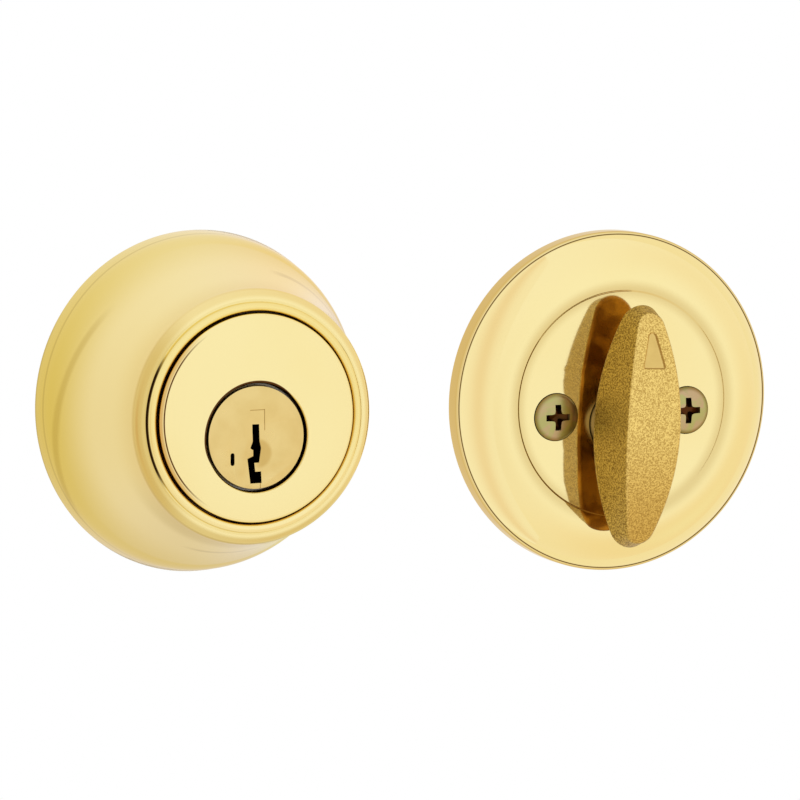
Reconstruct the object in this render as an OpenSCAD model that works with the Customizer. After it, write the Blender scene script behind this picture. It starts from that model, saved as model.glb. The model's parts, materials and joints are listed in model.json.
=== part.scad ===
// Deadbolt door lock, laid out with its keyed half and its turn half side by side.
// X runs right, Z runs up, and both halves face -Y. The origin is where the key
// plug's axis meets the outside face of the door; the latch lies behind it, inside
// the door, with its bolt thrown towards -X.

/* [Door and layout] */
// Thickness of the door that the lock is set up for
door_t = 44.4; // [40:0.1:48]
// From the door's edge to the axis that turns
backset = 60.3; // [59:0.1:70]
// Height of each rose's centre above the axis that turns
axis_drop = 3.7; // [3.2:0.1:4]
// Distance between the two halves, centre to centre
halves_dx = 86.6; // [72:0.1:110]
// How much lower the turn half lies than the keyed half
halves_dz = 4.05; // [0:0.05:8]
// Radial clearance of pieces that turn or slide in each other
run_gap = 0.05; // [0.03:0.01:0.08]
// Clearance of pieces that pass each other without bearing
pass_gap = 0.3; // [0.2:0.05:0.4]

/* [Exterior housing] */
// Diameter of the rose where it meets the door
rose_d = 65.5; // [64:0.5:70]
// Height of the band round the rose
band_h = 2.6; // [2:0.1:4]
// How far the band draws in
band_in = 0.5; // [0.1:0.1:1]
// Rounding of the rose's back edge
back_edge_r = 0.8; // [0.5:0.1:1.5]
// Height of the soft shoulder above the band
shoulder_h = 4.1; // [3:0.1:5]
// How far the shoulder draws in
shoulder_in = 1.5; // [1:0.1:2.5]
// How far the shoulder bulges above a straight cone
shoulder_bulge = 0.25; // [0.1:0.05:0.4]
// How far the bell's lip stands out beyond the bead's crest
lip_w = 3.35; // [3.1:0.05:4.5]
// Height of the bell's lip above the door
lip_h = 27.3; // [26.8:0.1:27.8]
// How far the flare dips below a straight cone
flare_dip = 0.45; // [0.1:0.05:1.5]
// Rounding of the bell's lip
lip_r = 2; // [1.6:0.1:2.1]
// Diameter of the bead's crest
bead_d = 42.1; // [41.8:0.1:42.4]
// Radius of the bead's section
bead_r = 0.9; // [0.8:0.05:1]
// Height of the bead's crest above the door
bead_h = 30.6; // [30.4:0.1:31]
// Wall of the housing
housing_wall = 1.6; // [1.2:0.1:2.2]
// Depth of the solid rim behind the bead
rim_depth = 6; // [4:0.1:8]

/* [Lock cylinder] */
// Height of the flat face above the door
face_h = 31.1; // [30.7:0.1:31.6]
// Thickness of the flat face's disc
face_t = 2.6; // [2:0.1:3.2]
// Bevel round the flat face
face_bevel = 0.8; // [0.4:0.05:1.2]
// Gap between the flat face and the bead
face_gap = 0.3; // [0.2:0.1:0.8]
// Diameter of the key plug
plug_d = 19.5; // [19.2:0.1:20]
// Depth of the plug's face below the flat face
plug_recess = 0.6; // [0.3:0.1:1]
// Gap between the plug and the rim of its hole in the flat face
plug_gap = 0.5; // [0.2:0.05:0.7]
// Width of the bevel round the plug's hole
hole_bevel = 0.35; // [0.2:0.05:0.6]
// Wall of the hardened ring round the cylinder
ring_wall = 1.3; // [1:0.1:1.8]
// Length of the hardened ring and the cylinder's front flange
flange_len = 9.4; // [7:0.1:12]
// Wall of the cylinder body round the plug clip
body_wall = 2.4; // [2.2:0.1:3]
// Thickness of the plate behind each half
back_t = 1.5; // [1.2:0.1:2]
// Height of the plug's rear shoulder above the door
plug_back_h = 9; // [8.8:0.1:9.4]
// Diameter of the plug's rear boss
boss_d = 16.4; // [16:0.1:17]
// Width of the plug clip
clip_w = 2.8; // [2.4:0.1:3]
// Thickness of the plug clip
clip_t = 1.2; // [0.8:0.1:1.4]
// Number of wafers in the plug
wafer_count = 5; // [4:1:5]
// Distance from one wafer to the next
wafer_pitch = 3.7; // [3.5:0.1:3.8]
// Thickness of a wafer
wafer_t = 1.2; // [1:0.1:1.4]
// Width of a wafer
wafer_w = 6; // [5.6:0.1:6.4]
// Diameter of the small springs in the plug
spring_d = 1; // [0.8:0.1:1.2]
// Thickness of the sidebar
sidebar_t = 2; // [1.6:0.1:2.4]
// Thickness of the driver behind the plug
driver_t = 3; // [2.6:0.1:3]
// Width of the torque blade
blade_w = 6.35; // [6:0.05:6.6]
// Thickness of the torque blade
blade_t = 2.6; // [2.2:0.1:3]
// Length of the torque blade behind the door's outside face
blade_reach = 54; // [50:0.5:60]
// Diameter of the torque blade's head
blade_head_d = 8.8; // [8.4:0.1:9.2]

/* [Mounting screws] */
// Distance between the two mounting screws
screw_span = 27.8; // [27.4:0.1:28.4]
// Height of the mounting screws above the axis that turns
screw_rise = 1.75; // [1.4:0.05:2.2]
// Diameter of a mounting screw's shank
screw_d = 4.7; // [4.2:0.1:5]
// Diameter of the neck between the thread and the head
neck_d = 4.1; // [3.6:0.1:4.3]
// Length of the neck below the head's seat
neck_len = 12; // [10:0.5:16]
// Diameter of a mounting screw's head
head_d = 9.1; // [8.6:0.1:9.6]
// Height of the head's dome at its middle
head_dome = 1.3; // [0.9:0.1:1.6]
// Height of the head's rim above its seat
head_rim = 0.4; // [0.2:0.1:0.6]
// Depth of the head's countersunk cone
head_sink = 2; // [1.6:0.1:2.2]
// Span of the cross recess
cross_span = 4.8; // [4:0.1:5.2]
// Width of an arm of the cross recess
cross_arm = 1; // [0.8:0.1:1.2]
// Depth of the cross recess
cross_deep = 2; // [1.5:0.1:2.4]
// Length of a mounting screw below its head's seat
screw_len = 46; // [40:1:54]
// Diameter of the posts that take the mounting screws
post_d = 8; // [7.6:0.1:8.4]
// Length of the posts behind the door's face
post_len = 9; // [6:0.5:11]
// Diameter of the threaded holes in the posts
thread_d = 4.1; // [3.8:0.1:4.4]

/* [Latch] */
// Travel of the bolt
throw = 25.4; // [24:0.1:26]
// Diameter of the bolt's round sides
bolt_d = 19.8; // [19.4:0.1:20]
// Thickness of the bolt across its flats
bolt_t = 13.6; // [12:0.1:14.4]
// Length of the bolt
bolt_len = 36.3; // [34:0.1:37]
// Wall of the latch tube
tube_wall = 1.3; // [1:0.1:1.6]
// Width of the faceplate
plate_w = 25.4; // [25:0.1:28]
// Height of the faceplate
plate_h = 57.2; // [56:0.1:62]
// Thickness of the faceplate
plate_t = 2.4; // [1.6:0.1:3]
// Corner radius of the faceplate
plate_corner = 6.35; // [2:0.05:8]
// Thickness of the plate behind the faceplate
backing_t = 1.2; // [0.8:0.1:1.6]
// Distance between the faceplate's screw holes
plate_span = 41.3; // [40:0.1:43]
// Diameter of the faceplate's screw holes
plate_hole_d = 4.8; // [4.2:0.1:5]
// Width inside the case
case_gap = 9; // [8.6:0.1:9.4]
// Thickness of a case plate
case_t = 1.5; // [1.2:0.1:1.6]
// Height of the case
case_h = 21.8; // [21.4:0.1:22.2]
// How far the case reaches past the axis that turns
case_tail = 22.5; // [22:0.1:23]
// Diameter of the case's rivets
rivet_d = 2.2; // [1.8:0.1:2.4]
// Diameter of the crank's hub
hub_d = 10; // [9.6:0.1:10.2]
// Thickness of the crank's arm
crank_t = 3; // [2.6:0.1:3.2]
// Width of the crank's arm
crank_w = 8; // [7.8:0.1:8.4]
// Side play of the tail pin in the crank's slot
slot_play = 1.1; // [1.05:0.01:1.2]
// Diameter of the tail pin
pin_d = 3; // [2.6:0.1:3]
// Thickness of a tail arm
arm_t = 1.6; // [1.2:0.1:1.8]
// Height of a tail arm
arm_h = 4; // [3.4:0.1:4.2]
// Diameter of the hardened pin in the bolt
guard_d = 6; // [4:0.1:7]

/* [Interior plate] */
// Diameter of the plate
cover_d = 66; // [64:0.5:70]
// Height of the plate's straight edge
cover_edge = 3.5; // [3:0.1:4.5]
// Rounding of the plate's front edge
cover_round = 0.6; // [0.4:0.1:1]
// Diameter of the dish's floor
cover_dish_d = 43.2; // [41:0.1:46]
// Height of the dish's floor above the straight edge
cover_dish_h = 4.4; // [4:0.1:4.6]
// Width of the small step round the dish
cover_step_w = 0.4; // [0.3:0.1:2]
// Height of that step
cover_step_h = 0.4; // [0.3:0.1:0.8]
// How far the plate bulges above a straight cone
cover_bulge = 1.2; // [0.4:0.1:1.5]
// Thickness of the plate's sheet
cover_wall = 1.2; // [1:0.1:1.4]

/* [Turn piece] */
// Length of the turn piece at its widest outline
turn_l = 47; // [44:0.5:50]
// Width of the turn piece at its widest outline
turn_w = 14.4; // [14.2:0.1:16]
// Length of the turn piece's front face
turn_face_l = 45; // [42:0.5:46]
// Width of the turn piece's front face
turn_face_w = 11.2; // [10:0.1:12.6]
// Radius of the turn piece's rounded ends, at the back
turn_back_end_r = 4.1; // [3:0.1:4.4]
// Radius of the front face's rounded ends
turn_end_r = 3; // [2.4:0.1:3.4]
// Height of the front face above the dish, at the middle
turn_front = 15.8; // [14:0.1:18]
// How much lower the front face's ends are
turn_arch = 4.7; // [3:0.1:5.2]
// Height of the back above the dish, at the middle
turn_back = 3.9; // [3:0.1:4.6]
// How much higher the back's ends are
turn_lift = 3; // [2:0.1:3.2]
// Rounding of the front face's edge
turn_edge = 0.7; // [0.3:0.1:1]
// Lean of the turn piece from upright, in degrees
turn_lean = 3.3; // [0:0.1:5]
// Width of the pointer on the front face
pointer_w = 5; // [3:0.1:5.4]
// Height of the pointer
pointer_h = 6.9; // [5:0.1:7.5]
// From the pointer's tip to the end of the front face
pointer_end = 3.9; // [3.5:0.1:6]
// Depth of the pointer
pointer_deep = 0.6; // [0.3:0.1:0.8]
// Diameter of the turn's hub
turn_hub_d = 13.4; // [13:0.1:13.8]
// Depth of the socket that the hub enters in the turn piece
socket_deep = 3.5; // [2.5:0.1:5]

/* [Hidden] */
$fn = 96;
eps = 0.01;   // overcut that keeps faces from coinciding
polished = [0.95, 0.86, 0.58];
satin = [0.85, 0.70, 0.38];
steel = [0.70, 0.71, 0.73];
dark_steel = [0.45, 0.46, 0.48];
zinc_grey = [0.62, 0.62, 0.60];

rose_r = rose_d / 2;
band_front_r = rose_r - band_in;
shell_in_r = band_front_r - housing_wall;
bore_front_r = bead_d / 2 - bead_r;          // mouth that the cylinder fills
lip_out_r = bead_d / 2 + lip_w;
bead_mid_h = bead_h - bead_r;
shoulder_z = back_edge_r + band_h;
crease_angle = -20;                          // where the bead meets the lip
rim_back_h = bead_mid_h - rim_depth;

face_r = bore_front_r - face_gap;
body_front_h = face_h - face_t;
flange_r = bore_front_r - ring_wall;
flange_back_h = body_front_h - flange_len;
plug_r = plug_d / 2;
plug_face_h = face_h - plug_recess;
plug_bore_r = plug_r + run_gap;
face_hole_r = plug_r + plug_gap;
boss_r = boss_d / 2;
clip_groove = 1;                             // depth of the groove under the clip
clip_r = boss_r + clip_w;
clip_room_r = clip_r + pass_gap;
barrel_r = clip_room_r + body_wall;
clip_front_h = plug_back_h - run_gap;
driver_front_h = back_t + driver_t - 0.5;
driver_back_h = driver_front_h - driver_t;
driver_r = boss_r;
head_t = 1;                                  // thickness of the blade's head
blade_slot_w = blade_w + 2 * run_gap;
blade_slot_t = blade_t + 2 * run_gap;
driver_screw_r = 0.9;
driver_head_r = 1.3;
driver_screw_place = (blade_head_d / 2 + run_gap + driver_r) / 2;
wafer_low = 0.7 - plug_r;
wafer_high = 7;
wafer_room_top = plug_r - 0.85;              // end of the slots that the wafers and springs lie in
window_w = 3.8;
window_l = 11.5;
sidebar_in = wafer_w / 2 + run_gap;
sidebar_out = plug_r - 0.2;
sidebar_low_h = plug_back_h + 0.6;
sidebar_high_h = body_front_h;
spring_room = 1.2;
sidebar_spring_hs = [sidebar_low_h + spring_d / 2 + run_gap, sidebar_high_h - spring_d / 2 - run_gap];
wafer_mid_h = (sidebar_low_h + sidebar_high_h) / 2;   // the wafers lie evenly between the springs
small_slot_x = -4.85;
small_slot_z = -3.95;
small_slot_w = 0.8;
small_slot_l = 2.4;
small_slot_deep = 3;
plate_screw_r = 1;
plate_screw_head_r = 1.9;
plate_screw_head_t = 0.8;
plate_screw_place = (clip_room_r + barrel_r) / 2;
plate_screw_len = 7;
post_r = post_d / 2;
drill_pin_r = 1.2;
drill_pin_len = 7;
// Keyway outline about the plug's axis, going down one side and up the other
keyway = [
    [-0.8, 2.5], [0.6, 2.5], [0.7, -0.8], [1, -2], [0.6, -4.8], [-0.4, -4.8], [-0.2, -6.5],
    [1, -6.5], [1.1, -8.7], [-1.2, -8.7], [-1.8, -4], [-0.6, -3.5], [-0.6, -2.4], [-1.2, -2],
    [-0.7, -0.8]
];

latch_y = door_t / 2;
latch_z = axis_drop;
bolt_r = bolt_d / 2;
tube_in_r = bolt_r + 2 * run_gap;
tube_r = tube_in_r + tube_wall;
faceplate_back_x = -backset + plate_t;
backing_back_x = faceplate_back_x + backing_t;
bolt_back_x = -backset + bolt_len;
case_front_x = bolt_back_x;
case_low_z = latch_z - case_h / 2;
case_top_z = latch_z + case_h / 2;
pin_z = throw / 2;                           // tail pin's height, so 90 degrees give the throw
crank_pin_far = pin_z * sqrt(2);             // farthest that the pin gets from the axis
arm_in_y = crank_t / 2 + pass_gap;
arm_out_y = arm_in_y + arm_t;
arm_low_z = hub_d / 2 + 2.4;
arm_top_z = arm_low_z + arm_h;
arm_seat = 6;                                // how deep the tail arms sit in the bolt
eye_r = 2.3;
rivet_r = rivet_d / 2;
rivet_x = [case_front_x + 3, case_tail - 2.5];
leaf_t = 0.5;
leaf_w = 5;
hub_flange_r = hub_d / 2 + 1;
leaf_top_z = -hub_flange_r - pass_gap;
rivet_z = [leaf_top_z + rivet_r, case_top_z - 0.4 - rivet_r];
rivet_head_r = rivet_r + 0.3;
rivet_head_t = 0.4;
tail_rivet_r = 1;
tail_rivet_x = bolt_back_x - arm_seat / 2;
guard_front_gap = 3;
guard_len = bolt_len - arm_seat - 2 * guard_front_gap;
slot_r = pin_d / 2 + slot_play;
slot_far = crank_pin_far + pin_d / 2 + pass_gap - slot_r;
slot_near = pin_z - pin_d / 2 - pass_gap + slot_r;
crank_end = slot_far + 0.1;
clear_hole_r = screw_d / 2 + 3 * pass_gap;

cover_x = halves_dx;
cover_z = axis_drop - halves_dz;
turn_z = cover_z - axis_drop;
cover_r = cover_d / 2;
dish_h = cover_edge + cover_dish_h;
dish_under_h = dish_h - cover_wall;
dish_r = cover_dish_d / 2;
rim_r = dish_r + cover_step_w;
rim_top_h = dish_h + cover_step_h;
inner_r = cover_r - cover_wall;
centre_r = dish_r - cover_wall - pass_gap;
turn_hub_r = turn_hub_d / 2;
hub_hole_r = turn_hub_r + run_gap;
hub_clip_groove = 1;
hub_clip_w = 3;
washer_t = 0.6;
hub_step_h = dish_under_h - back_t - washer_t;
seat_h = dish_h;
shank_hole_r = screw_d / 2 + pass_gap;
head_r = head_d / 2;
hub_top_h = dish_h + turn_back + socket_deep;

// Point on a curve that leaves a for c and arrives at b
function bend(a, c, b, t) = (1 - t) * (1 - t) * a + 2 * t * (1 - t) * c + t * t * b;
// Unit vector square to the line from a to b
function square_to(a, b) = [b.y - a.y, a.x - b.x] / norm(b - a);
function bend_by(a, b, sag, t) = bend(a, (a + b) / 2 + 2 * sag * square_to(a, b), b, t);
function arc(centre, r, from, to, n) =
    [for (i = [0:n]) centre + r * [cos(from + (to - from) * i / n), sin(from + (to - from) * i / n)]];

// Puts a drawing on a face of the lock: its x runs right, its y up, its z out of the door
module facing(x = 0, up = 0) {
    translate([x, 0, up]) rotate([90, 0, 0]) children();
}

module on_rose() {
    facing(0, axis_drop) children();
}

module on_plug() {
    facing() children();
}

module on_cover() {
    facing(cover_x, cover_z) children();
}

module on_turn() {
    facing(cover_x, turn_z) children();
}

// Lies a drawing along the latch: its z runs towards the bolt's tip from x = start
module along_latch(start, up = latch_z) {
    translate([start, latch_y, up]) rotate([0, -90, 0]) children();
}

// Round bar across the latch, centred on the latch's middle plane
module across_latch(x, z, r, length) {
    translate([x, latch_y + length / 2, z]) rotate([90, 0, 0]) cylinder(r = r, h = length);
}

module tube(r_out, r_in, from, to) {
    difference() {
        translate([0, 0, from]) cylinder(r = r_out, h = to - from);
        translate([0, 0, from - eps]) cylinder(r = r_in, h = to - from + 2 * eps);
    }
}

module at_screws(rise) {
    for (side = [-1, 1]) translate([side * screw_span / 2, rise, 0]) children();
}

// ---- Exterior half

band_front = [band_front_r, shoulder_z];
flare_start = [band_front_r - shoulder_in, shoulder_z + shoulder_h];
flare_end = [lip_out_r, lip_h];
flare_steps = 16;
flare = [for (i = [1:flare_steps]) bend_by(flare_end, flare_start, flare_dip, 1 - i / flare_steps)];
shoulder_steps = 6;
shoulder = [for (i = [0:shoulder_steps])
    bend_by(band_front, flare_start, shoulder_bulge, i / shoulder_steps)];
lip_from = 15;                               // angles that the rounded lip runs between
lip_to = 90;
housing_outside = concat(
    arc([rose_r - back_edge_r, back_edge_r], back_edge_r, -90, 0, 5),
    shoulder,
    flare,
    arc([lip_out_r - lip_r, lip_h], lip_r, lip_from, lip_to, 5),
    arc([bead_d / 2, bead_mid_h], bead_r, crease_angle, 180, 20)
);
housing_inside = concat(
    [[bore_front_r, rim_back_h]],
    [for (i = [flare_steps:-1:1]) if (flare[i - 1].y < rim_back_h) flare[i - 1] - [housing_wall, 0]],
    [[flare_start.x - housing_wall, flare_start.y - housing_wall / 2], [shell_in_r, shoulder_z]],
    [[shell_in_r, 0]]
);

module exterior_housing() {
    color(polished) on_rose() rotate_extrude() polygon(concat(housing_outside, housing_inside));
}

module face_disc() {
    color(polished) difference() {
        on_rose() rotate_extrude() polygon([
            [0, body_front_h], [face_r, body_front_h], [face_r, face_h - face_bevel],
            [face_r - face_bevel, face_h], [0, face_h]
        ]);
        on_plug() {
            translate([0, 0, body_front_h - eps])
                cylinder(r = face_hole_r, h = face_t + 2 * eps);
            translate([0, 0, face_h - 2 * hole_bevel])
                cylinder(r1 = face_hole_r, r2 = face_hole_r + hole_bevel + eps,
                         h = 2 * hole_bevel + eps);
        }
    }
}

module cylinder_body() {
    color(zinc_grey) difference() {
        union() {
            on_rose() translate([0, 0, flange_back_h]) cylinder(r = flange_r, h = flange_len);
            on_plug() {
                translate([0, 0, back_t]) cylinder(r = barrel_r, h = flange_back_h - back_t);
                at_screws(screw_rise) translate([0, 0, -post_len])
                    cylinder(r = post_r, h = flange_back_h + post_len);
            }
        }
        on_plug() {
            translate([0, 0, back_t - eps]) cylinder(r = plug_bore_r, h = body_front_h);
            translate([0, 0, back_t - post_len])
                cylinder(r = clip_room_r, h = plug_back_h - back_t + post_len);
            translate([-plug_r - 1.2, -sidebar_t / 2 - pass_gap, sidebar_low_h])
                cube([plug_r, sidebar_t + 2 * pass_gap, body_front_h]);
            at_screws(screw_rise) translate([0, 0, -post_len - eps])
                cylinder(r = thread_d / 2, h = post_len + back_t);
            back_plate_screw_cuts(plate_screw_r);
        }
        drill_pins();
    }
}

module back_plate_screw_cuts(r) {
    for (side = [-1, 1]) translate([0, side * plate_screw_place, -eps])
        cylinder(r = r, h = plate_screw_len + eps);
}

module drill_pins() {
    on_rose() for (side = [-1, 1])
        translate([side * plug_r / 2, flange_r * 0.6, body_front_h - drill_pin_len])
            cylinder(r = drill_pin_r, h = drill_pin_len);
}

module hardened_ring() {
    color(steel) on_rose() tube(bore_front_r, flange_r, flange_back_h, body_front_h);
}

module anti_drill_pins() {
    color(dark_steel) drill_pins();
}

module exterior_back_plate() {
    color(steel) difference() {
        on_rose() cylinder(r = shell_in_r, h = back_t);
        on_plug() {
            translate([0, 0, -eps]) cylinder(r = driver_r + 3 * pass_gap, h = back_t + 2 * eps);
            at_screws(screw_rise) translate([0, 0, -eps]) cylinder(r = post_r, h = back_t + 2 * eps);
            back_plate_screw_cuts(plate_screw_r);
            for (side = [-1, 1]) translate([0, side * plate_screw_place, -eps])
                cylinder(r = plate_screw_head_r, h = plate_screw_head_t + eps);
        }
    }
}

module back_plate_screws() {
    color(dark_steel) on_plug() for (side = [-1, 1])
        translate([0, side * plate_screw_place, 0]) difference() {
            union() {
                cylinder(r = plate_screw_head_r, h = plate_screw_head_t);
                cylinder(r = plate_screw_r, h = plate_screw_len);
            }
            translate([-plate_screw_head_r, -0.2, -eps]) cube([2 * plate_screw_head_r, 0.4, 0.4]);
        }
}

// ---- Key plug and what turns with it

function wafer_h(i) = wafer_mid_h + ((wafer_count - 1) / 2 - i) * wafer_pitch;

module key_plug() {
    color(satin) on_plug() difference() {
        union() {
            translate([0, 0, plug_back_h]) cylinder(r = plug_r, h = plug_face_h - plug_back_h);
            translate([0, 0, driver_front_h]) cylinder(r = boss_r, h = plug_face_h - driver_front_h - 1);
        }
        translate([0, 0, plug_back_h + 0.6]) linear_extrude(plug_face_h) polygon(keyway);
        translate([small_slot_x, small_slot_z, plug_face_h - small_slot_deep]) small_slot();
        for (i = [0:wafer_count - 1])
            translate([-wafer_w / 2 - run_gap, -plug_r - 1, wafer_h(i) - wafer_t / 2 - run_gap])
                cube([wafer_w + 2 * run_gap, plug_r + 1 + wafer_room_top, wafer_t + 2 * run_gap]);
        translate([-plug_r - 1, -sidebar_t / 2 - run_gap, sidebar_low_h - run_gap])
            cube([plug_r + 1 - wafer_w / 2, sidebar_t + 2 * run_gap,
                  sidebar_high_h - sidebar_low_h + 2 * run_gap]);
        for (h = sidebar_spring_hs)
            translate([-sidebar_in - eps, 0, h]) rotate([0, 90, 0])
                cylinder(d = spring_d, h = spring_room + eps);
        translate([0, 0, clip_front_h - clip_t])
            tube_cut(boss_r + eps, boss_r - clip_groove, clip_t);
        driver_screw_cuts(driver_screw_r, driver_front_h + 3);
    }
}

// Round-ended slot for the tool that resets the wafers
module small_slot() {
    depth = small_slot_deep + 1;
    reach = (small_slot_l - small_slot_w) / 2;
    for (end = [-reach, reach])
        translate([0, end, 0]) cylinder(d = small_slot_w, h = depth, $fn = 24);
    translate([-small_slot_w / 2, -reach, 0]) cube([small_slot_w, 2 * reach, depth]);
}

module tube_cut(r_out, r_in, length) {
    tube(r_out + 1, r_in, 0, length);
}

module driver_screw_cuts(r, top_h) {
    for (side = [-1, 1]) translate([side * driver_screw_place, 0, driver_back_h - eps])
        cylinder(r = r, h = top_h - driver_back_h + eps);
}

module tumbler_wafers() {
    color("goldenrod") on_plug() for (i = [0:wafer_count - 1])
        translate([0, 0, wafer_h(i) - wafer_t / 2]) difference() {
            translate([-wafer_w / 2, wafer_low, 0]) cube([wafer_w, wafer_high - wafer_low, wafer_t]);
            translate([-window_w / 2, wafer_low + 0.5, -eps])
                cube([window_w, window_l, wafer_t + 2 * eps]);
        }
}

module wafer_springs() {
    color(steel) on_plug() for (i = [0:wafer_count - 1])
        translate([0, wafer_high, wafer_h(i)]) rotate([-90, 0, 0])
            cylinder(d = spring_d, h = wafer_room_top - wafer_high);
}

module sidebar() {
    color(steel) on_plug()
        translate([-sidebar_out, -sidebar_t / 2, sidebar_low_h])
            cube([sidebar_out - sidebar_in, sidebar_t, sidebar_high_h - sidebar_low_h]);
}

module sidebar_springs() {
    color(steel) on_plug() for (h = sidebar_spring_hs)
        translate([-sidebar_in, 0, h]) rotate([0, 90, 0]) cylinder(d = spring_d, h = spring_room);
}

module plug_clip() {
    color(dark_steel) on_plug() difference() {
        tube(clip_r, boss_r - clip_groove, clip_front_h - clip_t, clip_front_h);
        translate([-2.5, 0, clip_front_h - clip_t - eps]) cube([5, clip_r + 1, clip_t + 2 * eps]);
    }
}

// Two quarter sectors that let the blade stay behind while the plug turns back
module lost_motion_slot(length) {
    reach = blade_head_d / 2 - 0.8;
    intersection() {
        cylinder(r = reach, h = length);
        union() {
            translate([-blade_slot_t / 2, -reach, 0]) cube([blade_slot_t, 2 * reach, length]);
            for (turn = [0, 180]) rotate([0, 0, turn])
                translate([-blade_slot_t / 2, -blade_slot_t / 2, 0])
                    cube([reach + blade_slot_t, reach + blade_slot_t, length]);
        }
    }
}

module blade_driver() {
    color(satin) on_plug() difference() {
        translate([0, 0, driver_back_h]) cylinder(r = driver_r, h = driver_t);
        translate([0, 0, driver_front_h - head_t - run_gap])
            cylinder(r = blade_head_d / 2 + run_gap, h = head_t + 1);
        translate([0, 0, driver_back_h - eps]) lost_motion_slot(driver_t);
        driver_screw_cuts(driver_screw_r, driver_front_h + 1);
        driver_screw_cuts(driver_head_r, driver_back_h + 0.8);
    }
}

module driver_screws() {
    color(dark_steel) on_plug() for (side = [-1, 1])
        translate([side * driver_screw_place, 0, driver_back_h]) difference() {
            union() {
                cylinder(r = driver_head_r, h = 0.8);
                cylinder(r = driver_screw_r, h = driver_t + 3);
            }
            translate([-driver_head_r, -0.2, -eps]) cube([2 * driver_head_r, 0.4, 0.4]);
        }
}

// ---- Spindle: the blade and the latch's crank

module torque_blade() {
    color(steel) on_plug() {
        translate([0, 0, driver_front_h - head_t]) cylinder(d = blade_head_d, h = head_t - run_gap);
        translate([-blade_t / 2, -blade_w / 2, -blade_reach])
            cube([blade_t, blade_w, blade_reach + driver_front_h - head_t + eps]);
    }
}

module latch_crank() {
    color(dark_steel) difference() {
        union() {
            across_latch(0, 0, hub_d / 2, case_gap + 2 * case_t);
            across_latch(0, 0, hub_flange_r, crank_t);
            crank_arm(crank_w / 2, 0, crank_end, crank_t);
        }
        crank_arm(slot_r, slot_near, slot_far, crank_t + 1);
        translate([-blade_slot_t / 2, latch_y - case_gap, -blade_slot_w / 2])
            cube([blade_slot_t, 2 * case_gap, blade_slot_w]);
    }
}

// Bar with round ends, standing 45 degrees from upright about the axis that turns
module crank_arm(r, from, to, thickness) {
    translate([0, latch_y, 0]) rotate([0, 45, 0]) rotate([90, 0, 0])
        translate([0, 0, -thickness / 2]) {
            translate([0, to, 0]) cylinder(r = r, h = thickness);
            translate([0, from, 0]) cylinder(r = r, h = thickness);
            translate([-r, from, 0]) cube([2 * r, to - from, thickness]);
        }
}

// ---- Latch

module rounded_rect(w, h, r) {
    square([w - 2 * r, h], center = true);
    square([w, h - 2 * r], center = true);
    for (x = [-1, 1], y = [-1, 1]) translate([x * (w / 2 - r), y * (h / 2 - r)]) circle(r = r);
}

// Section of the bolt, grown by a gap all round
module bolt_section(gap = 0) {
    intersection() {
        circle(r = bolt_r + gap);
        square([2 * bolt_d, bolt_t + 2 * gap], center = true);
    }
}

module at_plate_holes() {
    for (side = [-1, 1]) translate([side * plate_span / 2, 0, 0]) children();
}

module latch_faceplate() {
    color(polished) along_latch(faceplate_back_x) difference() {
        linear_extrude(plate_t) rounded_rect(plate_h, plate_w, plate_corner);
        translate([0, 0, -eps]) linear_extrude(plate_t + 2 * eps) bolt_section(2 * run_gap);
        at_plate_holes() {
            translate([0, 0, -eps]) cylinder(d = plate_hole_d, h = plate_t + 2 * eps);
            translate([0, 0, plate_t / 2])
                cylinder(d1 = plate_hole_d, d2 = plate_hole_d + 2 * plate_t, h = plate_t / 2 + eps);
        }
    }
}

module faceplate_backing() {
    color(steel) along_latch(backing_back_x) difference() {
        linear_extrude(backing_t) rounded_rect(plate_h - 1, plate_w - 1, plate_corner - 0.5);
        translate([0, 0, -eps]) linear_extrude(backing_t + 2 * eps) bolt_section(2 * run_gap);
        at_plate_holes() translate([0, 0, -eps]) cylinder(d = plate_hole_d, h = backing_t + 2 * eps);
    }
}

module latch_tube() {
    color(steel) along_latch(case_front_x)
        tube(tube_r, tube_in_r, 0, case_front_x - backing_back_x);
}

module case_plate(side) {
    difference() {
        translate([case_front_x, latch_y + (side > 0 ? case_gap / 2 : -case_gap / 2 - case_t), case_low_z])
            cube([case_tail - case_front_x, case_t, case_h]);
        across_latch(0, 0, hub_d / 2 + run_gap, 4 * case_gap);
        for (x = [-1, 1]) across_latch(x * screw_span / 2, screw_rise, clear_hole_r, 4 * case_gap);
        for (x = rivet_x, z = rivet_z) across_latch(x, z, rivet_r, 4 * case_gap);
    }
}

module case_plate_outside() {
    color(steel) case_plate(-1);
}

module case_plate_inside() {
    color(steel) case_plate(1);
}

module case_rivets() {
    color(dark_steel) for (x = rivet_x, z = rivet_z) {
        across_latch(x, z, rivet_r, case_gap + 2 * case_t + 2 * rivet_head_t);
        for (side = [-1, 1])
            translate([0, side * (case_gap / 2 + case_t + rivet_head_t / 2), 0])
                across_latch(x, z, rivet_head_r, rivet_head_t);
    }
}

// Leaf under the crank's hub, with its ends curled round the two low rivets
module detent_spring() {
    color(steel) difference() {
        union() {
            translate([rivet_x[0], latch_y - leaf_w / 2, leaf_top_z - leaf_t])
                cube([rivet_x[1] - rivet_x[0], leaf_w, leaf_t]);
            for (x = rivet_x) across_latch(x, rivet_z[0], rivet_r + leaf_t, leaf_w);
        }
        for (x = rivet_x) across_latch(x, rivet_z[0], rivet_r, 2 * leaf_w);
    }
}

module bolt() {
    color(polished) difference() {
        along_latch(bolt_back_x) difference() {
            linear_extrude(bolt_len) bolt_section();
            translate([0, 0, arm_seat + guard_front_gap]) cylinder(d = guard_d, h = guard_len);
        }
        tail_arms(0);
        across_latch(tail_rivet_x, (arm_low_z + arm_top_z) / 2, tail_rivet_r, bolt_t - 2);
    }
}

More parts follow.
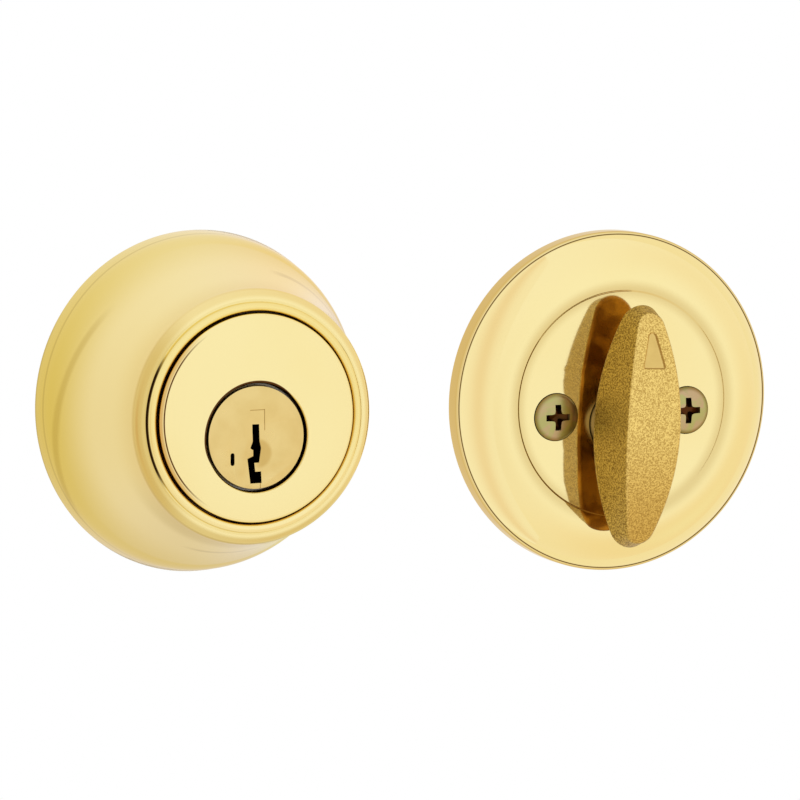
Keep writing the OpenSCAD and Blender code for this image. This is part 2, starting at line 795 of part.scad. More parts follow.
module saw_guard_pin() {
    color(dark_steel) along_latch(bolt_back_x)
        translate([0, 0, arm_seat + guard_front_gap]) cylinder(d = guard_d, h = guard_len);
}

module tail_arms(gap) {
    for (side = [-1, 1]) {
        y0 = latch_y + (side > 0 ? arm_in_y : -arm_out_y);
        translate([bolt_back_x - arm_seat, y0, arm_low_z])
            cube([pin_z + eye_r - bolt_back_x + arm_seat, arm_t, arm_h]);
        translate([pin_z - eye_r, y0, arm_low_z]) cube([2 * eye_r, arm_t, pin_z - arm_low_z]);
        translate([pin_z, y0 + arm_t, pin_z]) rotate([90, 0, 0]) cylinder(r = eye_r, h = arm_t);
    }
}

module bolt_tail() {
    color(steel) difference() {
        tail_arms(0);
        across_latch(pin_z, pin_z, pin_d / 2, 4 * arm_out_y);
        across_latch(tail_rivet_x, (arm_low_z + arm_top_z) / 2, tail_rivet_r, bolt_t);
    }
}

module tail_pin() {
    color(dark_steel) across_latch(pin_z, pin_z, pin_d / 2, 2 * arm_out_y);
}

module tail_rivets() {
    color(dark_steel)
        across_latch(tail_rivet_x, (arm_low_z + arm_top_z) / 2, tail_rivet_r, bolt_t - 2);
}

// ---- Interior half

cover_edge_front = [cover_r - cover_round, cover_edge];
cover_crest = [rim_r, rim_top_h];
cone_steps = 14;
step_steps = 10;
function cone_point(i) = bend_by(cover_edge_front, cover_crest, cover_bulge, i / cone_steps);
function step_point(t) = [rim_r - (rim_r - dish_r) * t,
                          rim_top_h - (rim_top_h - dish_h) * (1 - cos(180 * t)) / 2];
cover_outside = concat(
    [[cover_r, 0]],
    arc([cover_r - cover_round, cover_edge - cover_round], cover_round, 0, 90, 5),
    [for (i = [1:cone_steps]) cone_point(i)],
    [for (i = [1:step_steps]) step_point(i / step_steps)]
);
cover_inside = concat(
    [[0, dish_h], [0, dish_under_h], [dish_r, dish_under_h], [rim_r, rim_top_h - cover_wall]],
    [for (i = [cone_steps - 1:-1:1]) cone_point(i) - [0, cover_wall]],
    [[inner_r, cover_edge - cover_wall], [inner_r, 0]]
);

module screw_seats() {
    at_screws(screw_rise) {
        translate([0, 0, -1]) cylinder(r = shank_hole_r, h = seat_h + 2);
        translate([0, 0, seat_h - head_sink])
            cylinder(r1 = head_r - head_sink, r2 = head_r + eps, h = head_sink + eps);
    }
}

module interior_plate() {
    color(polished) difference() {
        on_cover() rotate_extrude() polygon(concat(cover_outside, cover_inside));
        on_turn() {
            cylinder(r = hub_hole_r + 2 * run_gap, h = dish_h + 1);
            screw_seats();
        }
    }
}

module interior_back_plate() {
    color(steel) difference() {
        on_cover() rotate_extrude() polygon([
            [0, dish_under_h - back_t], [centre_r - back_t, dish_under_h - back_t],
            [centre_r - back_t, 0], [inner_r, 0], [inner_r, back_t], [centre_r, back_t],
            [centre_r, dish_under_h], [0, dish_under_h]
        ]);
        on_turn() {
            cylinder(r = hub_hole_r, h = dish_h + 1);
            screw_seats();
        }
    }
}

module mounting_screws() {
    color("khaki") on_turn() at_screws(screw_rise) translate([0, 0, seat_h]) screw();
}

// Oval-head screw with a cross recess, its head's rim resting at height 0
module screw() {
    dome_r = (head_r * head_r + (head_dome - head_rim) * (head_dome - head_rim))
             / (2 * (head_dome - head_rim));
    spread = asin(head_r / dome_r);
    difference() {
        rotate_extrude() polygon(concat(
            [[0, -screw_len], [screw_d / 2 - 1, -screw_len], [screw_d / 2, -screw_len + 1],
             [screw_d / 2, -neck_len - 1], [neck_d / 2, -neck_len],
             [neck_d / 2, neck_d / 2 - head_r], [head_r, 0]],
            arc([0, head_dome - dome_r], dome_r, 90 - spread, 90, 8)
        ));
        for (turn = [0, 90]) rotate([0, 0, turn])
            translate([-cross_span / 2, -cross_arm / 2, head_dome - cross_deep])
                cube([cross_span, cross_arm, cross_deep + 1]);
    }
}

module hub_clip() {
    color(dark_steel) on_turn() difference() {
        tube(turn_hub_r + hub_clip_w - hub_clip_groove, turn_hub_r - hub_clip_groove,
             hub_step_h - 1, hub_step_h);
        translate([-2.5, -turn_hub_d, hub_step_h - 1 - eps]) cube([5, turn_hub_d, 1 + 2 * eps]);
    }
}

module wave_washer() {
    color(steel) on_turn()
        tube(turn_hub_r + hub_clip_w - hub_clip_groove, hub_hole_r, hub_step_h, hub_step_h + washer_t);
}

module turn_hub() {
    color(satin) on_turn() rotate([0, 0, -turn_lean]) difference() {
        translate([0, 0, 0.5]) cylinder(r = turn_hub_r, h = hub_top_h - 0.5);
        translate([0, 0, hub_step_h - 1])
            tube_cut(turn_hub_r + eps, turn_hub_r - hub_clip_groove, 1);
        translate([-blade_slot_t / 2, -blade_slot_w / 2, -1]) cube([blade_slot_t, blade_slot_w, dish_h]);
    }
}

// Half outline of the turn piece: two long arcs that run into round ends
turn_steps = 20;
end_angle = 14;                              // step between points of a round end
function side_back(l, w, e) = (pow(l / 2 - e, 2) - pow(w / 2 - e, 2)) / (w - 2 * e);
function half_outline(l, w, e) =
    let (a = l / 2 - e, c = side_back(l, w, e), r = c + w / 2, lean = atan2(a, c))
    concat(
        [for (i = [-6:-2]) e * [cos(i * end_angle), sin(i * end_angle)] - [0, a]],
        [for (i = [0:turn_steps]) let (t = lean * (2 * i / turn_steps - 1)) [r * cos(t) - c, r * sin(t)]],
        [for (i = [2:6]) e * [cos(i * end_angle), sin(i * end_angle)] + [0, a]]
    );
function front_at(y) = turn_front - turn_arch * pow(2 * y / turn_face_l, 2);
function back_at(y) = turn_back + turn_lift * pow(2 * y / turn_l, 2);
// One outline, set in by inset, at the height of the front or of the back
function turn_ring(l, w, e, inset, front, shift) =
    let (half = half_outline(l - 2 * inset, w - 2 * inset, e - inset), n = len(half))
    [for (i = [0:2 * n - 1])
        let (p = i < n ? half[i] : half[2 * n - 1 - i], s = i < n ? 1 : -1)
        [s * p.x, p.y, (front ? front_at(p.y) : back_at(p.y)) + shift]];

module turn_solid() {
    rings = [
        turn_ring(turn_l, turn_w, turn_back_end_r, 0.5, false, 0),
        turn_ring(turn_l, turn_w, turn_back_end_r, 0, false, 0.7),
        turn_ring(turn_face_l, turn_face_w, turn_end_r, 0, true, -turn_edge),
        turn_ring(turn_face_l, turn_face_w, turn_end_r, turn_edge, true, 0)
    ];
    n = len(rings[0]);
    m = len(rings);
    polyhedron(
        points = [for (ring = rings) each ring],
        faces = concat(
            [for (i = [0:n / 2 - 2]) [i, i + 1, n - 2 - i, n - 1 - i]],
            [for (i = [0:n / 2 - 2]) let (k = (m - 1) * n) [k + n - 1 - i, k + n - 2 - i, k + i + 1, k + i]],
            [for (r = [0:m - 2], i = [0:n - 1]) let (j = (i + 1) % n)
                [r * n + j, r * n + i, (r + 1) * n + i, (r + 1) * n + j]]
        )
    );
}

module turn_knob() {
    tip_y = turn_face_l / 2 - pointer_end;
    mid_y = tip_y - pointer_h / 2;
    slope = atan(2 * turn_arch * mid_y / pow(turn_face_l / 2, 2));
    color("burlywood") on_turn() translate([0, 0, dish_h]) rotate([0, 0, -turn_lean]) difference() {
        turn_solid();
        translate([0, 0, -eps]) cylinder(r = turn_hub_r, h = turn_back + socket_deep + eps);
        translate([0, mid_y, front_at(mid_y)]) rotate([-slope, 0, 0])
            translate([0, 0, -pointer_deep]) linear_extrude(3)
                polygon([[-pointer_w / 2, -pointer_h / 2], [pointer_w / 2, -pointer_h / 2],
                         [0, pointer_h / 2]]);
    }
}

exterior_housing();
face_disc();
cylinder_body();
hardened_ring();
anti_drill_pins();
exterior_back_plate();
back_plate_screws();
key_plug();
tumbler_wafers();
wafer_springs();
sidebar();
sidebar_springs();
plug_clip();
blade_driver();
driver_screws();
torque_blade();
latch_crank();
latch_faceplate();
faceplate_backing();
latch_tube();
case_plate_outside();
case_plate_inside();
case_rivets();
detent_spring();
bolt();
saw_guard_pin();
bolt_tail();
tail_pin();
tail_rivets();
interior_plate();
interior_back_plate();
mounting_screws();
hub_clip();
wave_washer();
turn_knob();
turn_hub();
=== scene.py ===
import json
import math

import bmesh
import bpy
from mathutils import Matrix, Vector


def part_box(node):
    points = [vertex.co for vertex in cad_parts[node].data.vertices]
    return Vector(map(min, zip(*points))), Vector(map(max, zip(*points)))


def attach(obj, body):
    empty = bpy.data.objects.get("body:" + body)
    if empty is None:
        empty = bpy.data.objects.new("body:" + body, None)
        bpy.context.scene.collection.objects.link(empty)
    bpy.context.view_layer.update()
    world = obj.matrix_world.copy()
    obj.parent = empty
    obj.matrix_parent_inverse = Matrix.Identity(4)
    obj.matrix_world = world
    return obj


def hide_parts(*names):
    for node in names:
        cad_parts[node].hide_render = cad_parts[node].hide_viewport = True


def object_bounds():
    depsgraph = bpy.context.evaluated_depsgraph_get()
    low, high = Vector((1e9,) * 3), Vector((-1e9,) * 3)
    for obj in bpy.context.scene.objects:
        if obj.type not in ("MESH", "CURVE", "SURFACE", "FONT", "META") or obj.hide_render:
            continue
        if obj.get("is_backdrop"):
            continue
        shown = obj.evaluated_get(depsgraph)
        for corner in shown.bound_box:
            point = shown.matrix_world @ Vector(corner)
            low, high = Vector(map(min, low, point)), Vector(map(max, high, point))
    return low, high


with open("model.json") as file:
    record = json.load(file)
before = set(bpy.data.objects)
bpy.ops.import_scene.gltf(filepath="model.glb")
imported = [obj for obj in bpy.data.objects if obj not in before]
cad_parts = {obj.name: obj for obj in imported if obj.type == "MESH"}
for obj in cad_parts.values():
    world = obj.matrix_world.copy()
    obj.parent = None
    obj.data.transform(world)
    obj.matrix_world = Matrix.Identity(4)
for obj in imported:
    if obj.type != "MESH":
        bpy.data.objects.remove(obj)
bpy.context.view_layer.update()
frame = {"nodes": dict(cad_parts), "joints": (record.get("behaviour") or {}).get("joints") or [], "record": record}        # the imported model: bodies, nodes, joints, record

nodes = frame["nodes"]
mm = 0.001
jointPlace = {j["name"]: Vector(j.get("pos_m", (0, 0, 0))) for j in frame["joints"]}


def middleOf(node):
    low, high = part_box(node)
    return (low + high) / 2


def depthOf(node):
    # nearest and farthest height of a node above the door's face
    low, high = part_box(node)
    return -high.y, -low.y


def halfWide(node):
    low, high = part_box(node)
    return (high.x - low.x) / 2


def linked(name, data):
    made = bpy.data.objects.new(name, data)
    bpy.context.scene.collection.objects.link(made)
    return made


def meshFrom(bm, name):
    mesh = bpy.data.meshes.new(name)
    bm.to_mesh(mesh)
    bm.free()
    return mesh


roseCentre = middleOf("exterior_housing")
coverCentre = middleOf("interior_plate")
plugAxis = jointPlace["plug_turn"]
turnAxis = jointPlace["turn_piece_turn"]

# ---------- camera, from the left and a little above, with a long lens
cameraSet = {"azimuth": -24.1, "elevation": 6.9, "distance": 2.2, "lens": 515.0,
             "aimRight": 0.0433, "aimUp": -0.0021}


def makeCamera(s):
    data = bpy.data.cameras.new("viewCamera")
    data.lens = s["lens"]
    data.sensor_width = 36.0
    data.clip_start, data.clip_end = 0.1, 50.0
    camera = linked("viewCamera", data)
    a, e = math.radians(s["azimuth"]), math.radians(s["elevation"])
    back = Vector((math.sin(a) * math.cos(e), -math.cos(a) * math.cos(e), math.sin(e)))
    aim = Vector((roseCentre.x + s["aimRight"], 0, roseCentre.z + s["aimUp"]))
    camera.location = aim + back * s["distance"]
    camera.rotation_euler = (-back).to_track_quat("-Z", "Y").to_euler()
    bpy.context.scene.camera = camera


makeCamera(cameraSet)
print("camera set")


# ---------- shader maths written as Python
class Wire:
    # one output socket; + - * / and ** on it add Math nodes
    def __init__(self, graph, socket):
        self.graph, self.socket = graph, socket

    def maths(self, operation, *values):
        return self.graph.node("ShaderNodeMath", {"operation": operation}, dict(enumerate(values)))

    def __add__(self, other):
        return self.maths("ADD", self, other)

    __radd__ = __add__

    def __sub__(self, other):
        return self.maths("SUBTRACT", self, other)

    def __rsub__(self, other):
        return self.maths("SUBTRACT", other, self)

    def __mul__(self, other):
        return self.maths("MULTIPLY", self, other)

    __rmul__ = __mul__

    def __truediv__(self, other):
        return self.maths("DIVIDE", self, other)

    def __rtruediv__(self, other):
        return self.maths("DIVIDE", other, self)

    def __pow__(self, other):
        return self.maths("POWER", self, other)

    def __rpow__(self, other):
        return self.maths("POWER", other, self)

    def __abs__(self):
        return self.maths("ABSOLUTE", self)

    def most(self, other):
        return self.maths("MAXIMUM", self, other)


class Graph:
    # a node tree; node() adds any node from its type, settings and socket values
    def __init__(self, tree):
        self.tree = tree
        tree.nodes.clear()

    def node(self, kind, settings=None, values=None, out=0):
        made = self.tree.nodes.new(kind)
        for key, value in (settings or {}).items():
            setattr(made, key, value)
        for key, value in (values or {}).items():
            socket = made.inputs[key]
            if isinstance(value, Wire):
                self.tree.links.new(value.socket, socket)
            else:
                socket.default_value = value
        if not made.outputs:
            return made
        return Wire(self, made.outputs[out])

    def soften(self, value, low, high, toLow=0.0, toHigh=1.0):
        return self.node("ShaderNodeMapRange", {"interpolation_type": "SMOOTHSTEP"},
                         {"Value": value, "From Min": low, "From Max": high,
                          "To Min": toLow, "To Max": toHigh})

    def mixColour(self, factor, a, b, mode="MIX"):
        paint = [c if isinstance(c, Wire) else (*c, 1.0) for c in (a, b)]
        return self.node("ShaderNodeMix", {"data_type": "RGBA", "blend_type": mode},
                         {0: factor, 6: paint[0], 7: paint[1]}, out=2)

    def place(self, shift=(0, 0, 0), scale=(1, 1, 1)):
        here = self.node("ShaderNodeTexCoord", out="Object")
        return self.node("ShaderNodeMapping", {"vector_type": "POINT"},
                         {"Vector": here, "Location": shift, "Scale": scale})

    def noise(self, vector, scale, detail=2.0, rough=0.5, distortion=0.0):
        return self.node("ShaderNodeTexNoise", None,
                         {"Vector": vector, "Scale": scale, "Detail": detail,
                          "Roughness": rough, "Distortion": distortion})

    def split(self, vector):
        parts = self.node("ShaderNodeSeparateXYZ", None, {"Vector": vector})
        return [Wire(self, s) for s in parts.socket.node.outputs]

    def polar(self, centre):
        # radius, sideways and upward place about an axis out of the door, and height above it
        x, y, z = self.split(self.place(shift=(-centre.x, 0, -centre.z)))
        return (x * x + z * z) ** 0.5, x, z, 0 - y

    def line(self, value, middle, half, blur):
        # 1 where the value lies within half of the middle, fading out over blur
        return self.soften(abs(value - middle), half + blur, half)


def emptyMaterial(name):
    material = bpy.data.materials.new(name)
    material.use_nodes = True
    return material, Graph(material.node_tree)


def newFinish(name, build, constants):
    # a metal finish: build() gives what varies, constants are set on the shader's own sockets
    material, graph = emptyMaterial(name)
    varying = build(graph)
    shader = graph.node("ShaderNodeBsdfPrincipled", None, {**constants, **varying})
    graph.node("ShaderNodeOutputMaterial", None, {"Surface": shader})
    return material


def bumpOn(graph, height, strength, distance, under=None):
    values = {"Height": height, "Strength": strength, "Distance": distance}
    if under is not None:
        values["Normal"] = under
    return graph.node("ShaderNodeBump", None, values)


# ---------- finishes
polishedSet = {"colour": (0.956, 0.835, 0.405), "warm": (0.930, 0.760, 0.300), "rough": 0.09,
               "haze": 0.05, "waveScale": 60.0, "waveDepth": 0.00002}


def polishedLook(name, s, paintedLight=None):
    # the function passed in gives (mask, tint) pairs: painted reflections of the studio and painted shade
    # in creases and grooves
    def build(g):
        here = g.place()
        cloud = g.noise(here, 35.0, 3.0)
        fine = g.noise(here, 900.0, 2.0)
        wave = g.noise(here, s["waveScale"], 1.0)
        paint = g.mixColour(g.soften(cloud, 0.45, 0.75) * 0.25, s["colour"], s["warm"])
        for mask, tint in paintedLight(g) if paintedLight else ():
            paint = g.mixColour(mask, paint, tint, "MULTIPLY")
        return {"Base Color": paint,
                "Roughness": s["rough"] + g.soften(cloud, 0.4, 0.7) * s["haze"] + fine * 0.02,
                "Normal": bumpOn(g, wave, 0.35, s["waveDepth"])}
    return newFinish(name, build, {"Metallic": 1.0})


# painted light on the bell: painted reflections at the foot, lip, bead, band and back edge, and painted
# shade in the crease and the groove
# where a pair of places stands, the tint fades in from the first to the second
bellPaintedLightSet = {
    "leftFade": (-0.80, -0.92), "rightFade": (0.74, 0.88),
    "foot": (17.4 * mm, 5.0 * mm), "footTint": (0.840, 0.765, 0.370),
    "lip": (20.9 * mm, 30.0 * mm), "lipTop": (22.5 * mm, 23.3 * mm), "lipTint": (0.931, 0.884, 0.781),
    "lipSide": (27.6 * mm, 28.8 * mm), "lipSideFade": (-0.50, -0.90), "lipSideTint": (0.80, 0.72, 0.52),
    "lowLip": (21.5 * mm, 25.0 * mm), "lowLipFade": (-8 * mm, -22 * mm), "lowLipTint": (0.87, 0.86, 0.79),
    "waveHigh": 7.3 * mm, "waveRise": 6.0 * mm, "waveFade": (-0.70, -0.88), "waveTint": (0.86, 0.83, 0.75),
    "streakHigh": 19.2 * mm, "streakFall": 8.1 * mm, "streakTint": (0.80, 0.77, 0.70),
    "streakUp": (0.35, 0.60), "streakSide": (0.30, 0.45),
    "lowStreakHigh": 17.5 * mm, "lowStreakDown": (0, -20 * mm), "lowStreakSide": (0.36, 0.16),
    "lineRadius": 22.0 * mm, "lineHalf": 0.09 * mm, "lineTint": (0.05, 0.02, 0.003),
    "dipRadius": 22.05 * mm, "dipTint": (0.95, 0.93, 0.84),
    "beadUp": (-18 * mm, 0), "beadTint": (0.975, 0.95, 0.79),
    "beadIn": (20.6 * mm, 20.2 * mm), "beadInTint": (0.66, 0.50, 0.28),
    "bandHigh": 3.4 * mm, "bandTint": (0.85, 0.83, 0.78),
    "backEdge": (1.4 * mm, 0.3 * mm), "backEdgeTint": (0.60, 0.58, 0.42)}


def bellPaintedLight(g):
    s = bellPaintedLightSet
    radius, x, up, height = g.polar(roseCentre)
    side = x / radius
    # painted reflection: a darker tone towards the foot
    foot = g.soften(height, *s["foot"]) * (0.41 + side * side * 0.59)        # strongest at the sides
    leftward, rightward = g.soften(side, *s["leftFade"]), g.soften(side, *s["rightFade"])
    # painted shade: a thin dark line in the crease by the bead, at the left and right only
    crease = g.line(radius, s["lineRadius"], s["lineHalf"], 0.1 * mm) * leftward.most(rightward)
    outside = g.soften(radius, *s["lipTop"])        # not on the lip's flat top
    # painted reflection: the flare near the lip a little darker
    lip = g.soften(height, *s["lip"]) * outside
    # painted shade: a slight darkening along the crease at the bead's foot
    dip = g.line(radius, s["dipRadius"], 0.15 * mm, 0.4 * mm)
    # painted reflection: a soft dark line that climbs across the shoulder on the left
    wave = g.line(height - up / radius * s["waveRise"], s["waveHigh"], 0.25 * mm, 0.9 * mm)
    wave = wave * g.soften(side, *s["waveFade"])
    # painted reflection: the lip's outer side darker on the left
    lipSide = g.soften(radius, s["lineRadius"], s["lineRadius"] + 0.2 * mm)
    lipSide = lipSide * g.soften(side, *s["lipSideFade"]) * g.soften(height, *s["lipSide"])
    # painted reflections: two soft dark streaks, one at the upper right and one at the bottom
    streak = g.line(height + side * s["streakFall"], s["streakHigh"], 0.3 * mm, 1.2 * mm)
    streak = streak * g.soften(up / radius, *s["streakUp"]) * g.soften(side, *s["streakSide"])
    lowStreak = g.line(height, s["lowStreakHigh"], 0.2 * mm, 0.8 * mm) * g.soften(up, *s["lowStreakDown"])
    lowStreak = lowStreak * g.soften(abs(side + 0.03), *s["lowStreakSide"])
    # painted shade under the lip, at the bottom
    lowLip = g.soften(height, *s["lowLip"]) * g.soften(up, *s["lowLipFade"]) * outside
    # painted reflection: the back edge darker on the left
    backEdge = g.soften(height, *s["backEdge"]) * leftward
    # painted reflection: the lower part of the bead a little darker and warmer
    bead = g.soften(radius, s["dipRadius"], s["dipRadius"] - 0.3 * mm) * g.soften(up, *s["beadUp"])
    # painted reflection: a soft line at the top of the band
    band = g.line(height, s["bandHigh"], 0.12 * mm, 0.3 * mm)
    # the last tint is painted shade on the bead's inner side, by the groove
    return [(foot, s["footTint"]), (lip, s["lipTint"]), (lipSide, s["lipSideTint"]),
            (wave, s["waveTint"]), (lowLip, s["lowLipTint"]), (backEdge, s["backEdgeTint"]),
            (dip, s["dipTint"]), (bead, s["beadTint"]), (streak.most(lowStreak), s["streakTint"]),
            (band, s["bandTint"]), (crease, s["lineTint"]),
            (g.soften(radius, *s["beadIn"]), s["beadInTint"])]


# painted light on the disc: painted reflections on its bevel and painted shade in the bore's gap
discPaintedLightSet = {"leftFade": (-0.50, -0.85), "bevelRadius": 19.15 * mm, "bevelWide": 0.35 * mm,
               "bevelTint": (0.78, 0.62, 0.46), "lineRadius": 19.05 * mm, "lineHalf": 0.1 * mm,
               "lineTint": (0.14, 0.06, 0.02), "shadeFade": (-0.1, 0.6), "shadeWide": 0.5 * mm,
               "boreGap": 0.55 * mm, "boreTint": (0.10, 0.04, 0.015)}


def discPaintedLight(g):
    s = discPaintedLightSet
    radius, x = g.polar(roseCentre)[:2]
    leftward = g.soften(x / radius, *s["leftFade"])
    fromPlug, right, rise = g.polar(plugAxis)[:3]
    # painted shade: the bore's dark rim is widest at its upper left
    shade = g.soften((rise * 0.77 - right * 0.64) / fromPlug, *s["shadeFade"]) * s["shadeWide"]
    bore = halfWide("key_plug") + s["boreGap"]
    # painted reflection: the bevel and a dark line on it, tinted on the left side only
    bevel = g.soften(radius, s["bevelRadius"], s["bevelRadius"] + s["bevelWide"]) * leftward
    return [(bevel, s["bevelTint"]),
            (g.line(radius, s["lineRadius"], s["lineHalf"], 0.1 * mm) * leftward, s["lineTint"]),
            (g.soften(fromPlug - shade, bore + 0.1 * mm, bore), s["boreTint"])]


# painted light on the plate: a soft band of painted shade round the dish, painted shade at the rounded rim,
# and a painted dark line in the crease at its edge
platePaintedLightSet = {"bandRadius": 22.1 * mm, "bandReach": 2.3 * mm, "bandTint": (0.84, 0.79, 0.71),
                "sideTint": (0.74, 0.62, 0.42), "edgeIn": 0.55 * mm, "edgeHalf": 0.06 * mm,
                "edgeTint": (0.20, 0.13, 0.06)}


def platePaintedLight(g):
    s = platePaintedLightSet
    radius = g.polar(coverCentre)[0]
    outer = halfWide("interior_plate")
    edge = outer - s["edgeIn"]
    return [(g.line(radius, s["bandRadius"], 0.1 * mm, s["bandReach"]), s["bandTint"]),
            (g.soften(radius, edge, outer), s["sideTint"]),
            (g.line(radius, edge, s["edgeHalf"], 0.1 * mm), s["edgeTint"])]


satinSet = {"colour": (0.825, 0.650, 0.265), "edge": (0.700, 0.510, 0.170), "rough": 0.24,
            "lineDepth": 0.00006, "lineWide": 0.10 * mm, "lineTint": (0.48, 0.36, 0.20),
            # engraved strokes: lying or not, place, middle, half length at its foot and at its full depth
            "strokes": [(True, 5.2 * mm, 0.3 * mm, 1.6 * mm, 1.45 * mm),
                        (False, 1.75 * mm, 3.3 * mm, 2.1 * mm, 1.95 * mm),
                        (False, 0.85 * mm, -9.1 * mm, 0.6 * mm, 0.5 * mm)],
            "dimpleAt": (0.45 * mm, 0, -3.1 * mm), "dimpleRadius": 3.1 * mm, "dimpleSoft": 0.9 * mm,
            "dimpleSide": (-0.6 * mm, 1.2 * mm, 0.15, 1.0), "dimpleShadeTint": (0.84, 0.77, 0.63),
            "slotDeep": (0.1 * mm, 0.5 * mm), "slotReach": (9.3 * mm, 9.0 * mm),
            "slotShadeTint": (0.02, 0.008, 0.004)}


def satinLook(s):
    def build(g):
        here = g.place(shift=(-plugAxis.x, 0, -plugAxis.z))
        x, y, z = g.split(here)
        radius, front = g.polar(plugAxis)[0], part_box("key_plug")[0].y
        spread = g.noise(here, 160.0, 3.0)
        grain = g.noise(g.place(scale=(1, 1, 0.08)), 5200.0, 2.0)

        def stroke(lying, place, middle, foot, full):
            off, along = (z, x) if lying else (x, z)
            wide = g.soften(abs(off - place), s["lineWide"], 0.0)
            return wide * g.soften(abs(along - middle), foot, full)

        across, down, lower = [stroke(*each) for each in s["strokes"]]
        fromDimple = g.polar(plugAxis + Vector(s["dimpleAt"]))[0]
        dimple = g.soften(fromDimple, s["dimpleRadius"], s["dimpleRadius"] - s["dimpleSoft"])
        lines = across.most(down).most(lower)
        stamped = bumpOn(g, lines + dimple * 0.35, 0.8, -s["lineDepth"])
        # painted shade: the keyway turns nearly black a little way in
        deep = g.soften(y, *[front + d for d in s["slotDeep"]])
        inSlot = deep * g.soften(radius, *s["slotReach"])
        paint = g.mixColour(g.soften(spread, 0.35, 0.75) * 0.5, s["colour"], s["edge"])
        # painted shade on the dimple's right side
        hollow = dimple * g.soften(x, *s["dimpleSide"])
        paint = g.mixColour(hollow, paint, s["dimpleShadeTint"], "MULTIPLY")
        paint = g.mixColour(lines, paint, s["lineTint"], "MULTIPLY")
        paint = g.mixColour(inSlot, paint, s["slotShadeTint"], "MULTIPLY")
        return {"Base Color": paint,
                "Roughness": s["rough"] + spread * 0.1 + lines * 0.1,
                "Normal": bumpOn(g, grain, 0.25, 0.00001, stamped)}
    return newFinish("satinBrass", build, {"Metallic": 1.0})


# the side and back colours are painted shade: the walls and underside are darker by the way they face
hammeredSet = {"colour": (0.930, 0.695, 0.210), "low": (0.380, 0.215, 0.030),
               "side": (0.590, 0.400, 0.072), "sideLow": (0.240, 0.138, 0.013),
               "back": (0.460, 0.220, 0.035), "backLow": (0.200, 0.078, 0.009),
               "bottomShade": (4 * mm, -22 * mm), "bottomShadeTint": (0.78, 0.70, 0.55),
               "rough": 0.26, "grain": 3500.0, "depth": 0.00011}


def hammeredLook(s):
    def build(g):
        here = g.place()
        grains = g.noise(here, s["grain"], 1.0, 0.5, 0.35)
        fine = g.noise(here, s["grain"] * 2.2, 1.0)
        height = grains * 0.75 + fine * 0.25
        hollow = g.soften(height, 0.60, 0.40)
        # painted shade: faces turned away from the front take the darker wall and back colours
        toFront = 0 - g.split(g.node("ShaderNodeTexCoord", out="Normal"))[1]
        wall, behind = g.soften(toFront, 0.80, 0.45), g.soften(toFront, 0.0, -0.5)
        front = g.mixColour(hollow * 0.65, s["colour"], s["low"])
        # painted shade: the front is darker towards the bottom
        rise = g.split(g.place(shift=(0, 0, -turnAxis.z)))[2]
        front = g.mixColour(g.soften(rise, *s["bottomShade"]), front, s["bottomShadeTint"], "MULTIPLY")
        shaded = g.mixColour(hollow, s["side"], s["sideLow"])
        under = g.mixColour(g.soften(g.noise(here, 160.0, 2.0), 0.42, 0.60), s["back"], s["backLow"])
        return {"Base Color": g.mixColour(behind, g.mixColour(wall, front, shaded), under),
                "Roughness": s["rough"] + hollow * 0.15 + wall * 0.12,
                "Normal": bumpOn(g, height, 0.6, s["depth"])}
    return newFinish("hammeredBrass", build, {"Metallic": 1.0, "Coat Weight": 0.12,
                                              "Coat Roughness": 0.25})


# the edge colour is painted shade for the pointer's steep walls
pointerSet = {"colour": (0.800, 0.595, 0.195), "edge": (0.420, 0.250, 0.055), "rough": 0.26}


def pointerLook(name, s, colour):
    def build(g):
        here = g.place()
        soft = g.noise(here, 700.0, 2.0)
        return {"Base Color": g.mixColour(soft * 0.3, colour, hammeredSet["low"]),
                "Roughness": s["rough"] + soft * 0.1,
                "Normal": bumpOn(g, soft, 0.2, 0.00003)}
    return newFinish(name, build, {"Metallic": 1.0, "Coat Weight": 0.12, "Coat Roughness": 0.2})


zincSet = {"base": (0.480, 0.465, 0.170), "pink": (0.560, 0.410, 0.220), "green": (0.370, 0.410, 0.150),
           "rough": 0.24, "headRadius": 4.55 * mm, "rimFrom": 3.6 * mm, "rimShadeTint": (0.55, 0.46, 0.26),
           "domeRadius": 11.95 * mm, "recessRadius": 2.9 * mm, "recessTop": (0.1 * mm, 0.4 * mm),
           "recessFloor": (2.4 * mm, 2.1 * mm), "recessShadeTint": (0.16, 0.06, 0.02)}


